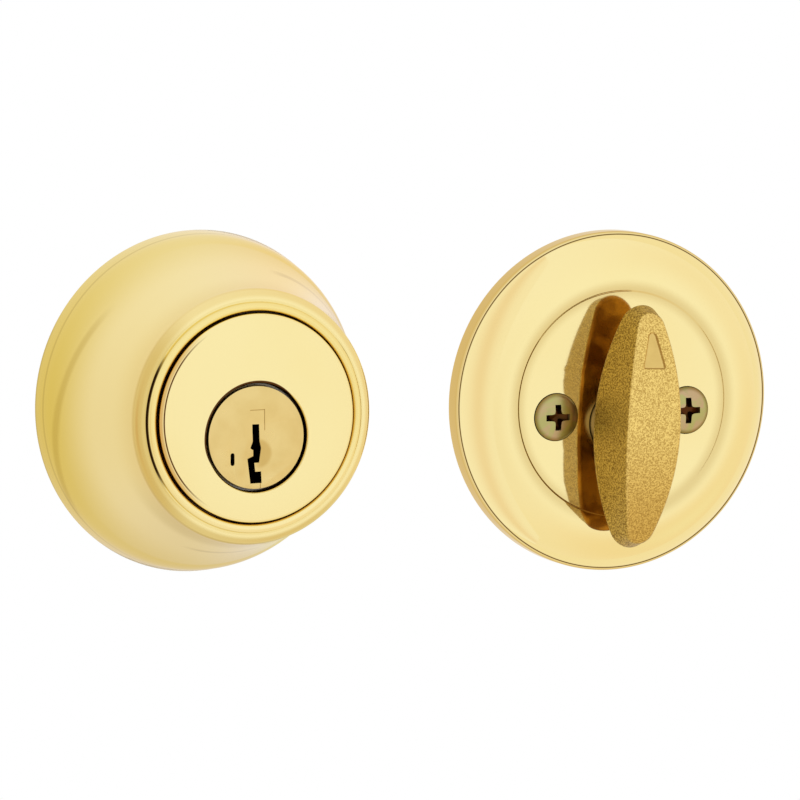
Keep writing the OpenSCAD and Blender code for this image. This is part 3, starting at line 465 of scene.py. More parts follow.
def yellowZincLook(s):
    low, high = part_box("mounting_screws")
    middle, span = (low + high) / 2, (high.x - low.x) / 2 - s["headRadius"]

    def build(g):
        here = g.place()
        x, y, z = g.split(g.place(shift=(-middle.x, -low.y, -middle.z)))
        side = abs(x) - span
        squared = side * side + z * z
        radius = squared ** 0.5
        swirl = g.noise(here, 230.0, 2.0, 0.5, 1.2)
        swirl2 = g.noise(g.place(shift=(0.3, 0.1, 0.2)), 170.0, 2.0, 0.5, 0.8)
        film = g.mixColour(g.soften(swirl, 0.45, 0.65), s["base"], s["pink"])
        film = g.mixColour(g.soften(swirl2, 0.48, 0.68), film, s["green"])
        # painted shade: each head darker towards its rim
        film = g.mixColour(g.soften(radius, s["rimFrom"], s["headRadius"]), film, s["rimShadeTint"], "MULTIPLY")
        # painted shade in the cross recess, found by depth below the dome
        depth = y - squared / (2 * s["domeRadius"])        # below the dome's skin
        recess = g.soften(depth, *s["recessTop"]) * g.soften(depth, *s["recessFloor"])
        recess = recess * g.soften(radius, s["recessRadius"] + 0.1 * mm, s["recessRadius"])
        film = g.mixColour(recess, film, s["recessShadeTint"], "MULTIPLY")
        fine = g.noise(here, 3000.0, 2.0)
        return {"Base Color": film, "Roughness": s["rough"] + swirl * 0.12,
                "Normal": bumpOn(g, fine, 0.15, 0.00002)}
    return newFinish("yellowZinc", build, {"Metallic": 1.0, "Coat Weight": 0.1})


def steelLook(name, colour, dark, rough):
    # plated or bare steel: soft clouds of tone and a fine grain
    def build(g):
        here = g.place()
        cloud = g.noise(here, 120.0, 4.0, 0.6)
        grain = g.noise(here, 4000.0, 2.0)
        return {"Base Color": g.mixColour(g.soften(cloud, 0.35, 0.7), colour, dark),
                "Roughness": rough + g.soften(cloud, 0.3, 0.8) * 0.15,
                "Normal": bumpOn(g, grain, 0.3, 0.00001)}
    return newFinish(name, build, {"Metallic": 1.0})


castSet = {"colour": (0.52, 0.52, 0.50), "dark": (0.40, 0.40, 0.39)}


def castLook():
    # die-cast zinc: matt, lightly pitted skin
    def build(g):
        here = g.place()
        pits = g.node("ShaderNodeTexVoronoi", {"feature": "F1"}, {"Vector": here, "Scale": 900.0})
        cloud = g.noise(here, 90.0, 4.0, 0.6)
        return {"Base Color": g.mixColour(g.soften(cloud, 0.3, 0.7), castSet["colour"], castSet["dark"]),
                "Roughness": 0.42 + cloud * 0.2,
                "Normal": bumpOn(g, pits + cloud, 0.3, 0.00004)}
    return newFinish("castZinc", build, {"Metallic": 1.0})


finishes = {
    "polished_brass": polishedLook("polishedBrass", polishedSet),
    "satin_brass": satinLook(satinSet),
    "hammered_brass": hammeredLook(hammeredSet),
    "yellow_zinc": yellowZincLook(zincSet),
    "zinc": castLook(),
    "zinc_steel": steelLook("zincPlatedSteel", (0.62, 0.63, 0.66), (0.50, 0.51, 0.55), 0.22),
    "spring_steel": steelLook("springSteel", (0.46, 0.46, 0.48), (0.34, 0.34, 0.37), 0.28),
    "hardened_steel": steelLook("hardenedSteel", (0.085, 0.060, 0.045), (0.050, 0.036, 0.030), 0.36),
}
bellBrass = polishedLook("bellBrass", polishedSet, bellPaintedLight)
discBrass = polishedLook("discBrass", polishedSet, discPaintedLight)
plateBrass = polishedLook("plateBrass", {**polishedSet, "rough": 0.045, "haze": 0.02}, platePaintedLight)
smoothGold = pointerLook("smoothGold", pointerSet, pointerSet["colour"])
shadedWallGold = pointerLook("shadedWallGold", pointerSet, pointerSet["edge"])
print("finishes made:", len(finishes) + 5)


# ---------- mesh helpers; a drawing's x runs right, its y up, its height out of the door
def facing(centre, x, y, height):
    return Vector((centre.x + x, -height, centre.z + y))


def makePiece(name, bm, finish, sharpAngle=35.0):
    bmesh.ops.remove_doubles(bm, verts=bm.verts, dist=1e-7)
    bmesh.ops.recalc_face_normals(bm, faces=bm.faces)
    mesh = meshFrom(bm, name)
    piece = linked(name, mesh)
    mesh.materials.append(finish)
    smoothBy(mesh, sharpAngle)
    return piece


def smoothBy(mesh, angle):
    mesh.shade_smooth()
    mesh.set_sharp_from_angle(angle=math.radians(angle))


def bakeModifiers(piece):
    # the evaluated shape becomes a plain mesh
    graph = bpy.context.evaluated_depsgraph_get()
    mesh = bpy.data.meshes.new_from_object(piece.evaluated_get(graph))
    piece.modifiers.clear()
    piece.data = mesh
    mesh.name = piece.name


def turnedRings(bm, rings, closed=True):
    # rings: lists of as many vertices each, joined in order by quads
    pairs = list(zip(rings, rings[1:] + rings[:1] if closed else rings[1:]))
    for a, b in pairs:
        count = len(a)
        for i in range(count):
            j = (i + 1) % count
            corners = [a[i], a[j], b[j], b[i]]
            if len(set(corners)) == 4:
                bm.faces.new(corners)


def circleVerts(bm, centre, radius, height, count):
    return [bm.verts.new(facing(centre, radius * math.cos(2 * math.pi * i / count),
                                radius * math.sin(2 * math.pi * i / count), height))
            for i in range(count)]


def lathe(bm, centre, profile, count=256, closed=True):
    turnedRings(bm, [circleVerts(bm, centre, r, h, count) for r, h in profile], closed)


def arcPoints(cr, ch, radius, start, stop, steps):
    return [(cr + radius * math.cos(math.radians(start + (stop - start) * i / steps)),
             ch + radius * math.sin(math.radians(start + (stop - start) * i / steps)))
            for i in range(steps + 1)]


def bendPoints(a, b, sag, steps):
    # curve from a to b that leaves the straight line by sag at its middle
    ax, ay = a
    bx, by = b
    length = math.hypot(bx - ax, by - ay)
    cx = (ax + bx) / 2 + 2 * sag * (by - ay) / length
    cy = (ay + by) / 2 + 2 * sag * (ax - bx) / length
    return [((1 - t) ** 2 * ax + 2 * t * (1 - t) * cx + t * t * bx,
             (1 - t) ** 2 * ay + 2 * t * (1 - t) * cy + t * t * by)
            for t in (i / steps for i in range(steps + 1))]


def cutBy(piece, cutter):
    tool = piece.modifiers.new("cut", "BOOLEAN")
    tool.operation = "DIFFERENCE"
    tool.solver = "EXACT"
    tool.object = cutter
    bakeModifiers(piece)
    bpy.data.objects.remove(cutter)


def settle(piece, body, slot, *replaced):
    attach(piece, body)
    if replaced:
        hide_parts(*replaced)
    return piece


bodyOf = {n: b for b, members in frame["record"]["behaviour"]["bodies"].items() for n in members}
slotOf = {s["node"]: s["material_slot"] for s in frame["record"]["subparts"]}

# ---------- bell-shaped housing of the keyed half
bellSet = {"backRound": 0.8 * mm, "band": 2.6 * mm, "bandIn": 0.5 * mm, "shoulderHigh": 4.1 * mm,
           "shoulderIn": 1.5 * mm, "shoulderBulge": 0.25 * mm, "flareDip": 0.45 * mm,
           "lipRadius": 24.4 * mm, "lipHeight": 27.7 * mm, "lipRound": 1.6 * mm,
           "beadRadius": 21.05 * mm, "beadRound": 0.9 * mm, "wall": 1.6 * mm, "rimDeep": 6.0 * mm}


def bellProfile(s, outer, top):
    band = (outer - s["bandIn"], s["backRound"] + s["band"])
    beadMid = top - s["beadRound"]
    flareFoot = (band[0] - s["shoulderIn"], band[1] + s["shoulderHigh"])
    lip = (s["lipRadius"], s["lipHeight"])
    outside = arcPoints(outer - s["backRound"], s["backRound"], s["backRound"], -90, 0, 8)
    outside += bendPoints(band, flareFoot, s["shoulderBulge"], 14)
    outside += bendPoints(lip, flareFoot, s["flareDip"], 40)[::-1][1:]
    outside += arcPoints(s["lipRadius"] - s["lipRound"], s["lipHeight"], s["lipRound"], 15, 90, 16)
    outside += arcPoints(s["beadRadius"], beadMid, s["beadRound"], -20, 180, 40)
    bore = s["beadRadius"] - s["beadRound"]
    rimBack = beadMid - s["rimDeep"]
    inside = [(bore, rimBack)]
    flare = bendPoints(lip, flareFoot, s["flareDip"], 20)[1:]
    inside += [(r - s["wall"], h) for r, h in flare if h < rimBack]
    inside += [(band[0] - s["wall"], band[1]), (band[0] - s["wall"], 0.0)]
    return outside + inside


def makeBell(s):
    profile = bellProfile(s, halfWide("exterior_housing"), depthOf("exterior_housing")[1])
    bm = bmesh.new()
    lathe(bm, roseCentre, profile, 320)
    piece = makePiece("bellHousing", bm, bellBrass, 24.0)
    return settle(piece, "root", "polished_brass", "exterior_housing")


makeBell(bellSet)

# ---------- flat disc round the plug
discSet = {"bevel": 0.55 * mm, "bevelSteps": 5, "holeBevel": 0.35 * mm, "holeGap": 0.5 * mm,
           "holeDip": 0.06 * mm, "sides": 256}


def makeDisc(s):
    radius, hole = halfWide("face_disc"), halfWide("key_plug") + s["holeGap"]
    back, front = depthOf("face_disc")
    bevel, holeBevel = s["bevel"], s["holeBevel"]
    outside = [(radius, back)]
    outside += arcPoints(radius - bevel, front - bevel, bevel, 0, 90, s["bevelSteps"])
    inside = [(hole + holeBevel, front), (hole + holeBevel * 0.8, front - s["holeDip"]),
              (hole, front - 2 * holeBevel), (hole, back)]
    bm = bmesh.new()
    rings = [circleVerts(bm, centre, r, h, s["sides"])
             for centre, places in ((roseCentre, outside), (plugAxis, inside)) for r, h in places]
    turnedRings(bm, rings)
    piece = makePiece("frontDisc", bm, discBrass, 30.0)
    return settle(piece, "root", "polished_brass", "face_disc")


makeDisc(discSet)
print("keyed half made")


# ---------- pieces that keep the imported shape, with their edges broken
def dressed(node, edge, finish=None):
    source = nodes[node]
    bm = bmesh.new()
    bm.from_mesh(source.data)
    bmesh.ops.remove_doubles(bm, verts=bm.verts, dist=2e-6)
    bmesh.ops.dissolve_limit(bm, angle_limit=math.radians(1.0), verts=bm.verts, edges=bm.edges)
    mesh = meshFrom(bm, node + "Skin")
    piece = linked(node + "Skin", mesh)
    mesh.materials.append(finish or finishes[slotOf[node]])
    bevel = piece.modifiers.new("edge", "BEVEL")
    bevel.width = edge * mm
    bevel.segments = 2
    bevel.limit_method = "ANGLE"
    bevel.angle_limit = math.radians(32)
    bakeModifiers(piece)
    smoothBy(piece.data, 34.0)
    return settle(piece, bodyOf[node], slotOf[node], node)


edgeBreaks = {"key_plug": 0.1, "cylinder_body": 0.3, "hardened_ring": 0.15, "anti_drill_pins": 0.15,
              "exterior_back_plate": 0.2, "back_plate_screws": 0.1, "tumbler_wafers": 0.08, "sidebar": 0.15,
              "plug_clip": 0.12, "blade_driver": 0.15, "driver_screws": 0.1, "torque_blade": 0.2,
              "latch_crank": 0.25, "latch_faceplate": 0.3, "faceplate_backing": 0.2, "latch_tube": 0.2,
              "case_plate_outside": 0.25, "case_plate_inside": 0.25, "detent_spring": 0.1, "bolt": 0.5,
              "saw_guard_pin": 0.2, "bolt_tail": 0.15, "tail_pin": 0.15, "tail_rivets": 0.1,
              "interior_back_plate": 0.2, "hub_clip": 0.12, "wave_washer": 0.08, "turn_hub": 0.2}
ownFinish = {"turn_hub": steelLook("hubBronze", (0.300, 0.200, 0.070), (0.150, 0.095, 0.030), 0.3)}
for nodeName, edge in edgeBreaks.items():
    dressed(nodeName, edge, finish=ownFinish.get(nodeName))
print("packed shapes dressed:", len(edgeBreaks))

# ---------- plate of the turn half
coverSet = {"edge": 3.5 * mm, "round": 0.6 * mm, "rimRadius": 22.1 * mm, "bulge": 1.6 * mm,
            "stepWide": 0.4 * mm, "stepDeep": 0.2 * mm, "steps": 16, "dishHigh": 4.4 * mm,
            "wall": 1.2 * mm, "hubGap": 0.15 * mm, "cut": 3 * mm, "seatGap": 0.03 * mm,
            "seatSink": 2.0 * mm, "seatBevel": 0.1 * mm, "sides": 320}
screwSet = {"headRadius": 4.55 * mm, "shank": 2.35 * mm, "dome": 1.3 * mm, "rim": 0.4 * mm,
            "rimRound": 0.2 * mm, "point": 0.9 * mm}


def screwPlaces():
    low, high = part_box("mounting_screws")
    up = (low.z + high.z) / 2
    r = screwSet["headRadius"]
    return [Vector((low.x + r, 0, up)), Vector((high.x - r, 0, up))]


def coverProfile(s, outer):
    edge = s["edge"]
    dish = edge + s["dishHigh"]
    crest = (s["rimRadius"], dish + s["stepDeep"])
    dishRadius = crest[0] - s["stepWide"]
    outside = [(outer, 0.0)]
    outside += arcPoints(outer - s["round"], edge - s["round"], s["round"], 0, 90, 8)
    outside += bendPoints((outer - s["round"], edge), crest, s["bulge"], 48)[1:]
    for i in range(1, s["steps"] + 1):
        t = i / s["steps"]
        fall = (1 - math.cos(math.pi * t)) / 2
        outside.append((crest[0] - s["stepWide"] * t, crest[1] - s["stepDeep"] * fall))
    under = [(dishRadius, dish - s["wall"]), (crest[0], crest[1] - s["wall"])]
    under += [(r, h - s["wall"]) for r, h in
              bendPoints((outer - s["round"], edge), crest, s["bulge"], 20)[::-1][1:-1]]
    under += [(outer - s["wall"], edge - s["wall"]), (outer - s["wall"], 0.0)]
    return outside, under, dish


def makeCover(s):
    outer = halfWide("interior_plate")
    outside, under, dish = coverProfile(s, outer)
    bm = bmesh.new()
    outRings, underRings = [[circleVerts(bm, coverCentre, r, h, s["sides"]) for r, h in places]
                            for places in (outside, under)]
    turnedRings(bm, outRings, False)
    turnedRings(bm, underRings, False)
    turnedRings(bm, [underRings[-1], outRings[0]], False)
    bm.faces.new(outRings[-1])
    bm.faces.new(underRings[0])
    piece = makePiece("turnHalfPlate", bm, plateBrass, 30.0)
    holes = bmesh.new()
    back, front = dish - s["cut"], dish + s["cut"]
    hub = halfWide("turn_hub") + s["hubGap"]
    lathe(holes, turnAxis, [(hub, back), (hub, front)], 160, False)
    closeEnds(holes)
    seat, sink, bevel = screwSet["headRadius"] + s["seatGap"], s["seatSink"], s["seatBevel"]
    for place in screwPlaces():
        lathe(holes, place, [(seat - sink, back), (seat - sink, dish - sink), (seat, dish - bevel),
                             (seat + bevel, dish), (seat + bevel, front)], 96, False)
        closeEnds(holes)
    cutBy(piece, makePiece("cutter", holes, plateBrass))
    smoothBy(piece.data, 30.0)
    return settle(piece, "root", "polished_brass", "interior_plate")


def closeEnds(bm):
    # fills every open round end left in the mesh
    bmesh.ops.holes_fill(bm, edges=[e for e in bm.edges if e.is_boundary], sides=0)


makeCover(coverSet)
print("turn half's plate made")

# ---------- turn piece: a leaf-shaped bar with an arched front
turnSet = {"length": 47.0 * mm, "width": 15.1 * mm, "faceLength": 45.0 * mm, "faceWidth": 11.5 * mm,
           "endRadius": 3.0 * mm, "backEnd": 4.1 * mm, "front": 15.8 * mm, "arch": 4.7 * mm,
           "back": 3.9 * mm, "lift": 3.0 * mm, "inDish": 1.1 * mm, "edgeRound": 0.7 * mm,
           "backRound": 0.6 * mm, "lean": 3.3, "pointerWide": 4.7 * mm, "pointerHigh": 6.7 * mm,
           "pointerTop": 1.3 * mm, "pointerEnd": 3.9 * mm, "pointerDeep": 0.45 * mm,
           "pointerRound": 0.6 * mm, "pointerSoft": 0.22 * mm, "stations": 260, "across": 84,
           "backAcross": 16, "wallRings": 22, "roundSteps": 5}


def leafHalf(s, length, width, end, inset=0.0):
    # points (half width, along) from the lower tip to the upper one
    e = end - inset
    a, b = length / 2 - e, width / 2 - inset - e
    c = (a * a - b * b) / (2 * b)
    big = c + width / 2 - inset
    lean = math.atan2(a, c)
    count = s["stations"]
    ends = count // 8
    points = [(e * math.sin(t), -a - e * math.cos(t))
              for t in (i / ends * (math.pi / 2 - lean) for i in range(ends))]
    long = count - 2 * ends
    points += [(big * math.cos(t) - c, big * math.sin(t))
               for t in (lean * (2 * i / long - 1) for i in range(long + 1))]
    points += [(w, -v) for w, v in points[:ends][::-1]]
    return points


def makeTurn(s):
    dish = depthOf("interior_plate")[1] - s["inDish"]
    lean = -math.radians(s["lean"])
    turned, leaned = math.cos(lean), math.sin(lean)
    backRound, edgeRound, roundSteps = s["backRound"], s["edgeRound"], s["roundSteps"]

    def frontAt(v):
        return s["front"] - s["arch"] * (2 * v / s["faceLength"]) ** 2

    def backAt(v):
        return s["back"] + s["lift"] * (2 * v / s["length"]) ** 2

    bm = bmesh.new()

    def put(x, y, height):
        return bm.verts.new(facing(turnAxis, x * turned - y * leaned, x * leaned + y * turned,
                                   dish + height))

    def ring(half, heights):
        right = [put(w, v, h) for (w, v), h in zip(half, heights)]
        left = [put(-w, v, h) for (w, v), h in zip(half, heights)]
        return right + left[::-1]

    body = leafHalf(s, s["length"], s["width"], s["backEnd"])
    face = leafHalf(s, s["faceLength"], s["faceWidth"], s["endRadius"])
    rings = []
    for i in range(roundSteps):        # rounded back edge
        t = math.pi / 2 * i / roundSteps
        inset = backRound * (1 - math.sin(t))
        half = leafHalf(s, s["length"] - 2 * inset, s["width"], s["backEnd"], inset)
        rings.append(ring(half, [backAt(v) + backRound * (1 - math.cos(t)) for w, v in half]))
    for i in range(s["wallRings"] + 1):        # slanting wall
        t = i / s["wallRings"]
        half = [(w0 + (w1 - w0) * t, v0 + (v1 - v0) * t) for (w0, v0), (w1, v1) in zip(body, face)]
        low = [backAt(v) + backRound for w, v in body]
        high = [frontAt(v) - edgeRound for w, v in face]
        rings.append(ring(half, [l + (h - l) * t for l, h in zip(low, high)]))
    for i in range(1, roundSteps + 1):        # rounded front edge
        t = math.pi / 2 * i / roundSteps
        inset = edgeRound * (1 - math.cos(t))
        half = leafHalf(s, s["faceLength"] - 2 * inset, s["faceWidth"], s["endRadius"], inset)
        rings.append(ring(half, [frontAt(v) - edgeRound * (1 - math.sin(t)) for w, v in half]))
    turnedRings(bm, rings, False)
    inner = leafHalf(s, s["faceLength"] - 2 * edgeRound, s["faceWidth"], s["endRadius"], edgeRound)
    under = leafHalf(s, s["length"] - 2 * backRound, s["width"], s["backEnd"], backRound)
    tip = s["faceLength"] / 2 - s["pointerEnd"]
    wide, top = s["pointerWide"] / 2, s["pointerTop"] / 2
    pointer = [Vector(p) for p in ((-wide, tip - s["pointerHigh"]), (wide, tip - s["pointerHigh"]),
                                   (top, tip), (-top, tip))]

    def frontPoint(x, v):
        inside = insideBy(pointer, x, v, s["pointerRound"])
        return put(x, v, frontAt(v) - s["pointerDeep"] * sunk(inside, s["pointerSoft"]))

    capGrid(bm, inner, s["across"], frontPoint)
    capGrid(bm, under, s["backAcross"], lambda x, v: put(x, v, backAt(v)))
    piece = makePiece("turnBar", bm, finishes["hammered_brass"], 60.0)
    piece.data.materials.append(smoothGold)
    piece.data.materials.append(shadedWallGold)
    # painted shade: the pointer's two steep walls take the darker pointer finish
    for face in piece.data.polygons:        # the pointer's floor is smooth, two of its walls dark
        x, up = face.center.x - turnAxis.x, face.center.z - turnAxis.z
        across, along = x * turned + up * leaned, up * turned - x * leaned
        if face.normal.y < 0 and insideBy(pointer, across, along, s["pointerRound"]) > -0.1 * mm:
            steep = face.normal.x < -0.3 or face.normal.z > 0.6
            face.material_index = 2 if steep else 1
    return piece


def capGrid(bm, half, across, put):
    rows = []
    for w, v in half:
        rows.append([put(w * (2 * j / across - 1), v) for j in range(across + 1)])
    for a, b in zip(rows, rows[1:]):
        for j in range(across):
            bm.faces.new((a[j], a[j + 1], b[j + 1], b[j]))


def insideBy(corners, x, y, radius):
    # how far a point lies inside a rounded triangle, negative outside
    gaps = []
    for a, b in zip(corners, corners[1:] + corners[:1]):
        edge = (b - a).normalized()
        gaps.append(-(edge.x * (y - a.y) - edge.y * (x - a.x)) + radius)
    outside = [g for g in gaps if g > 0]
    if len(outside) > 1:
        return radius - math.sqrt(sum(g * g for g in outside) * 0.9)
    return radius - max(gaps)


def sunk(inside, soft):
    t = max(0.0, min(1.0, inside / soft * 0.5 + 0.5))
    return t * t * (3 - 2 * t)


turnBar = makeTurn(turnSet)
settle(turnBar, "turn", "hammered_brass", "turn_knob")
print("turn piece made:", len(turnBar.data.polygons), "faces")


# ---------- repeated pieces by Geometry Nodes
class Tree(Graph):
    # a geometry tree with named number inputs
    def __init__(self, name, inputs):
        tree = bpy.data.node_groups.new(name, "GeometryNodeTree")
        super().__init__(tree)
        tree.interface.new_socket("Geometry", in_out="INPUT", socket_type="NodeSocketGeometry")
        self.names = {}
        for label, value in inputs.items():
            kind = "NodeSocketInt" if isinstance(value, int) else "NodeSocketFloat"
            socket = tree.interface.new_socket(label, in_out="INPUT", socket_type=kind)
            socket.default_value = value
            self.names[label] = socket.identifier
        tree.interface.new_socket("Geometry", in_out="OUTPUT", socket_type="NodeSocketGeometry")
        self.entry = tree.nodes.new("NodeGroupInput")

    def input(self, label):
        return Wire(self, self.entry.outputs[label])

    def helix(self, steps, sides, thick):
        # a round wire coiled along +Z
        spiral = self.node("GeometryNodeCurveSpiral", None,
                           {"Resolution": steps, "Rotations": self.input("Turns"),
                            "Start Radius": self.input("Radius"), "End Radius": self.input("Radius"),
                            "Height": self.input("Length")})
        wire = self.node("GeometryNodeCurvePrimitiveCircle", None,
                         {"Resolution": sides, "Radius": self.input(thick)})
        return self.node("GeometryNodeCurveToMesh", None,
                         {"Curve": spiral, "Profile Curve": wire, "Fill Caps": True})

    def scatter(self, shape, material):
        # one shape at each point that comes in, made real and painted
        spread = self.node("GeometryNodeInstanceOnPoints", None,
                           {"Points": self.input("Geometry"), "Instance": shape})
        real = self.node("GeometryNodeRealizeInstances", None, {"Geometry": spread})
        painted = self.node("GeometryNodeSetMaterial", None, {"Geometry": real, "Material": material})
        self.node("NodeGroupOutput", None, {"Geometry": painted})
        return self


def grown(name, tree, values, points, place=Matrix.Identity(4)):
    # runs a tree on a mesh of points and keeps its result as a plain mesh
    mesh = bpy.data.meshes.new(name)
    mesh.from_pydata([tuple(p) for p in points], [], [])
    piece = linked(name, mesh)
    modifier = piece.modifiers.new("grow", "NODES")
    modifier.node_group = tree.tree
    for label, value in values.items():
        modifier[tree.names[label]] = value
    bakeModifiers(piece)
    piece.data.transform(place)
    return piece


springSet = {"wire": 0.12 * mm, "turns": 5.0}
springTree = Tree("coilSprings", {"Turns": 6.0, "Radius": 0.5, "Length": 2.0, "Wire": 0.1})
springTree.scatter(springTree.helix(24, 8, "Wire"), finishes["spring_steel"])


def springsAlong(name, node, axis, count, s):
    # coils in the places that a node's plain springs hold
    low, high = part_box(node)
    size = high - low
    along = {"x": 0, "z": 2}[axis]
    radius = min(size) / 2 - s["wire"]
    first, last = low.y + radius + s["wire"], high.y - radius - s["wire"]
    start = middleOf(node)
    start[along] = low[along]
    points = [(0, 0, 0)]
    pieces = []
    for i in range(count):
        step = first + (last - first) * i / (count - 1)
        turn = Matrix.Rotation(math.pi / 2, 4, "Y") if axis == "x" else Matrix.Identity(4)
        spot = Vector((start.x, step, start.z))
        pieces.append(grown(name, springTree,
                            {"Turns": s["turns"], "Radius": radius, "Length": size[along] - 2 * s["wire"],
                             "Wire": s["wire"]}, points,
                            Matrix.Translation(spot + turn @ Vector((0, 0, s["wire"]))) @ turn))
    return settle(joined(name, pieces), bodyOf[node], slotOf[node], node)


def joined(name, pieces):
    bm = bmesh.new()
    for piece in pieces:
        bm.from_mesh(piece.data)
    materials = list(pieces[0].data.materials)
    for piece in pieces:
        bpy.data.objects.remove(piece)
    mesh = meshFrom(bm, name)
    for material in materials:
        mesh.materials.append(material)
    whole = linked(name, mesh)
    smoothBy(mesh, 50.0)
    return whole


springsAlong("waferCoils", "wafer_springs", "z", 5, springSet)
springsAlong("sidebarCoils", "sidebar_springs", "x", 2, springSet)

# ---------- rivets of the latch case
rivetSet = {"shank": 1.1 * mm, "head": 1.45 * mm, "dome": 0.45 * mm, "inset": 0.05 * mm}


def rivetTree(finish):
    # a bar along Y with a domed head at each end, at each point
    tree = Tree("rivets", {"Shank": 1.0, "Head": 1.5, "Dome": 0.5, "Length": 10.0})
    half = tree.input("Length") / 2
    bar = tree.node("GeometryNodeMeshCylinder", {"fill_type": "NGON"},
                    {"Vertices": 32, "Radius": tree.input("Shank"), "Depth": tree.input("Length")})
    ball = tree.node("GeometryNodeMeshUVSphere", None, {"Segments": 32, "Rings": 16, "Radius": 1.0})
    shape = tree.node("ShaderNodeCombineXYZ", None,
                      {0: tree.input("Head"), 1: tree.input("Head"), 2: tree.input("Dome")})
    heads = []
    for side in (-1, 1):
        spot = tree.node("ShaderNodeCombineXYZ", None, {2: half * side})
        heads.append(tree.node("GeometryNodeTransform", None,
                               {"Geometry": ball, "Translation": spot, "Scale": shape}))
    join = tree.tree.nodes.new("GeometryNodeJoinGeometry")
    for part in (bar, *heads):
        tree.tree.links.new(part.socket, join.inputs[0])
    lying = tree.node("GeometryNodeTransform", None,
                      {"Geometry": Wire(tree, join.outputs[0]), "Rotation": (math.pi / 2, 0, 0)})
    return tree.scatter(lying, finish)


def makeRivets(s):
    low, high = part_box("case_rivets")
    half = (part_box("case_plate_inside")[1].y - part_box("case_plate_outside")[0].y) / 2
    edge = s["head"] - s["inset"]
    middle = (low.y + high.y) / 2
    points = [(x, middle, z) for x in (low.x + edge, high.x - edge) for z in (low.z + edge, high.z - edge)]
    piece = grown("caseRivets", rivetTree(finishes["zinc_steel"]),
                  {"Shank": s["shank"], "Head": s["head"], "Dome": s["dome"], "Length": 2 * half}, points)
    smoothBy(piece.data, 40.0)
    return settle(piece, "root", "zinc_steel", "case_rivets")


makeRivets(rivetSet)

# ---------- mounting screws: lathe-turned heads with a cross recess, threads by Geometry Nodes
threadSet = {"pitch": 0.95 * mm, "depth": 0.32 * mm, "plain": 12.5 * mm, "lead": 0.4 * mm,
             "runOut": 0.5 * mm, "tip": 1.6 * mm, "neck": 2.05 * mm}
crossSet = {"span": 5.1 * mm, "arm": 1.2 * mm, "fillet": 0.65 * mm, "deep": 1.6 * mm, "taper": 0.5}


def screwHead(bm, place, seat, length, s):
    rise = s["dome"] - s["rim"]
    ball = (s["headRadius"] ** 2 + rise ** 2) / (2 * rise)
    spread = math.degrees(math.asin(s["headRadius"] / ball))
    core, neck, plain = s["shank"] - threadSet["depth"], threadSet["neck"], seat - threadSet["plain"]
    profile = [(core - s["point"], seat - length), (core, seat - length + s["point"]),
               (core, plain), (neck, plain + threadSet["runOut"]),
               (neck, seat + neck - s["headRadius"] + 0.1 * mm), (s["headRadius"] - 0.15 * mm, seat)]
    profile += arcPoints(s["headRadius"] - s["rimRound"], seat + s["rim"] * 0.5, s["rimRound"], -60, 30, 4)
    dome = arcPoints(0, seat + s["dome"] - ball, ball, 90 - spread + 2, 90, 14)
    lathe(bm, place, profile + dome[:-1] + [(0.05 * mm, seat + s["dome"])], 96, False)
    closeEnds(bm)


def crossCutter(bm, place, top, s):
    # a cross with filleted inner corners that narrows as it goes in
    long, wide, f = s["span"] / 2, s["arm"] / 2, s["fillet"]
    quarter = [(long, -wide), (long, wide), (wide + f, wide + 0.06 * f), (wide + 0.45 * f, wide + 0.2 * f),
               (wide + 0.2 * f, wide + 0.45 * f), (wide + 0.06 * f, wide + f)]
    rings = []
    for h, scale in ((top + 1 * mm, 1.0), (top - 0.3 * mm, 0.98), (top - s["deep"], s["taper"])):
        ring = []
        for turn in range(4):
            for x, y in quarter:
                x, y = x * scale, y * (0.5 + 0.5 * scale)
                for _ in range(turn):
                    x, y = -y, x
                ring.append(bm.verts.new(facing(place, x, y, h)))
        rings.append(ring)
    turnedRings(bm, rings, False)
    closeEnds(bm)


def threadTree(finish):
    # a ridge wound along Y, at each point
    tree = Tree("threads", {"Turns": 10.0, "Radius": 2.0, "Length": 10.0, "Ridge": 0.3})
    coil = tree.helix(40, 4, "Ridge")
    lying = tree.node("GeometryNodeTransform", None, {"Geometry": coil, "Rotation": (-math.pi / 2, 0, 0)})
    return tree.scatter(lying, finish)


def makeScrews(s):
    back, front = depthOf("mounting_screws")
    seat = front - s["dome"]
    heads = []
    for place in screwPlaces():
        bm = bmesh.new()
        screwHead(bm, place, seat, seat - back, s)
        head = makePiece("screwHead", bm, finishes["yellow_zinc"], 40.0)
        tool = bmesh.new()
        crossCutter(tool, place, seat + s["dome"], crossSet)
        cutBy(head, makePiece("cutter", tool, finishes["yellow_zinc"]))
        heads.append(head)
    length = seat - back - threadSet["plain"] - threadSet["tip"]
    start = -(seat - threadSet["plain"] - threadSet["lead"])
    points = [(p.x, start, p.z) for p in screwPlaces()]
    ridge = threadSet["depth"]
    values = {"Turns": length / threadSet["pitch"], "Radius": s["shank"] - ridge,
              "Length": length, "Ridge": ridge}
    heads.append(grown("threads", threadTree(finishes["yellow_zinc"]), values, points))
    return settle(joined("mountingScrews", heads), "root", "yellow_zinc", "mounting_screws")


makeScrews(screwSet)
print("screws, rivets and springs made")

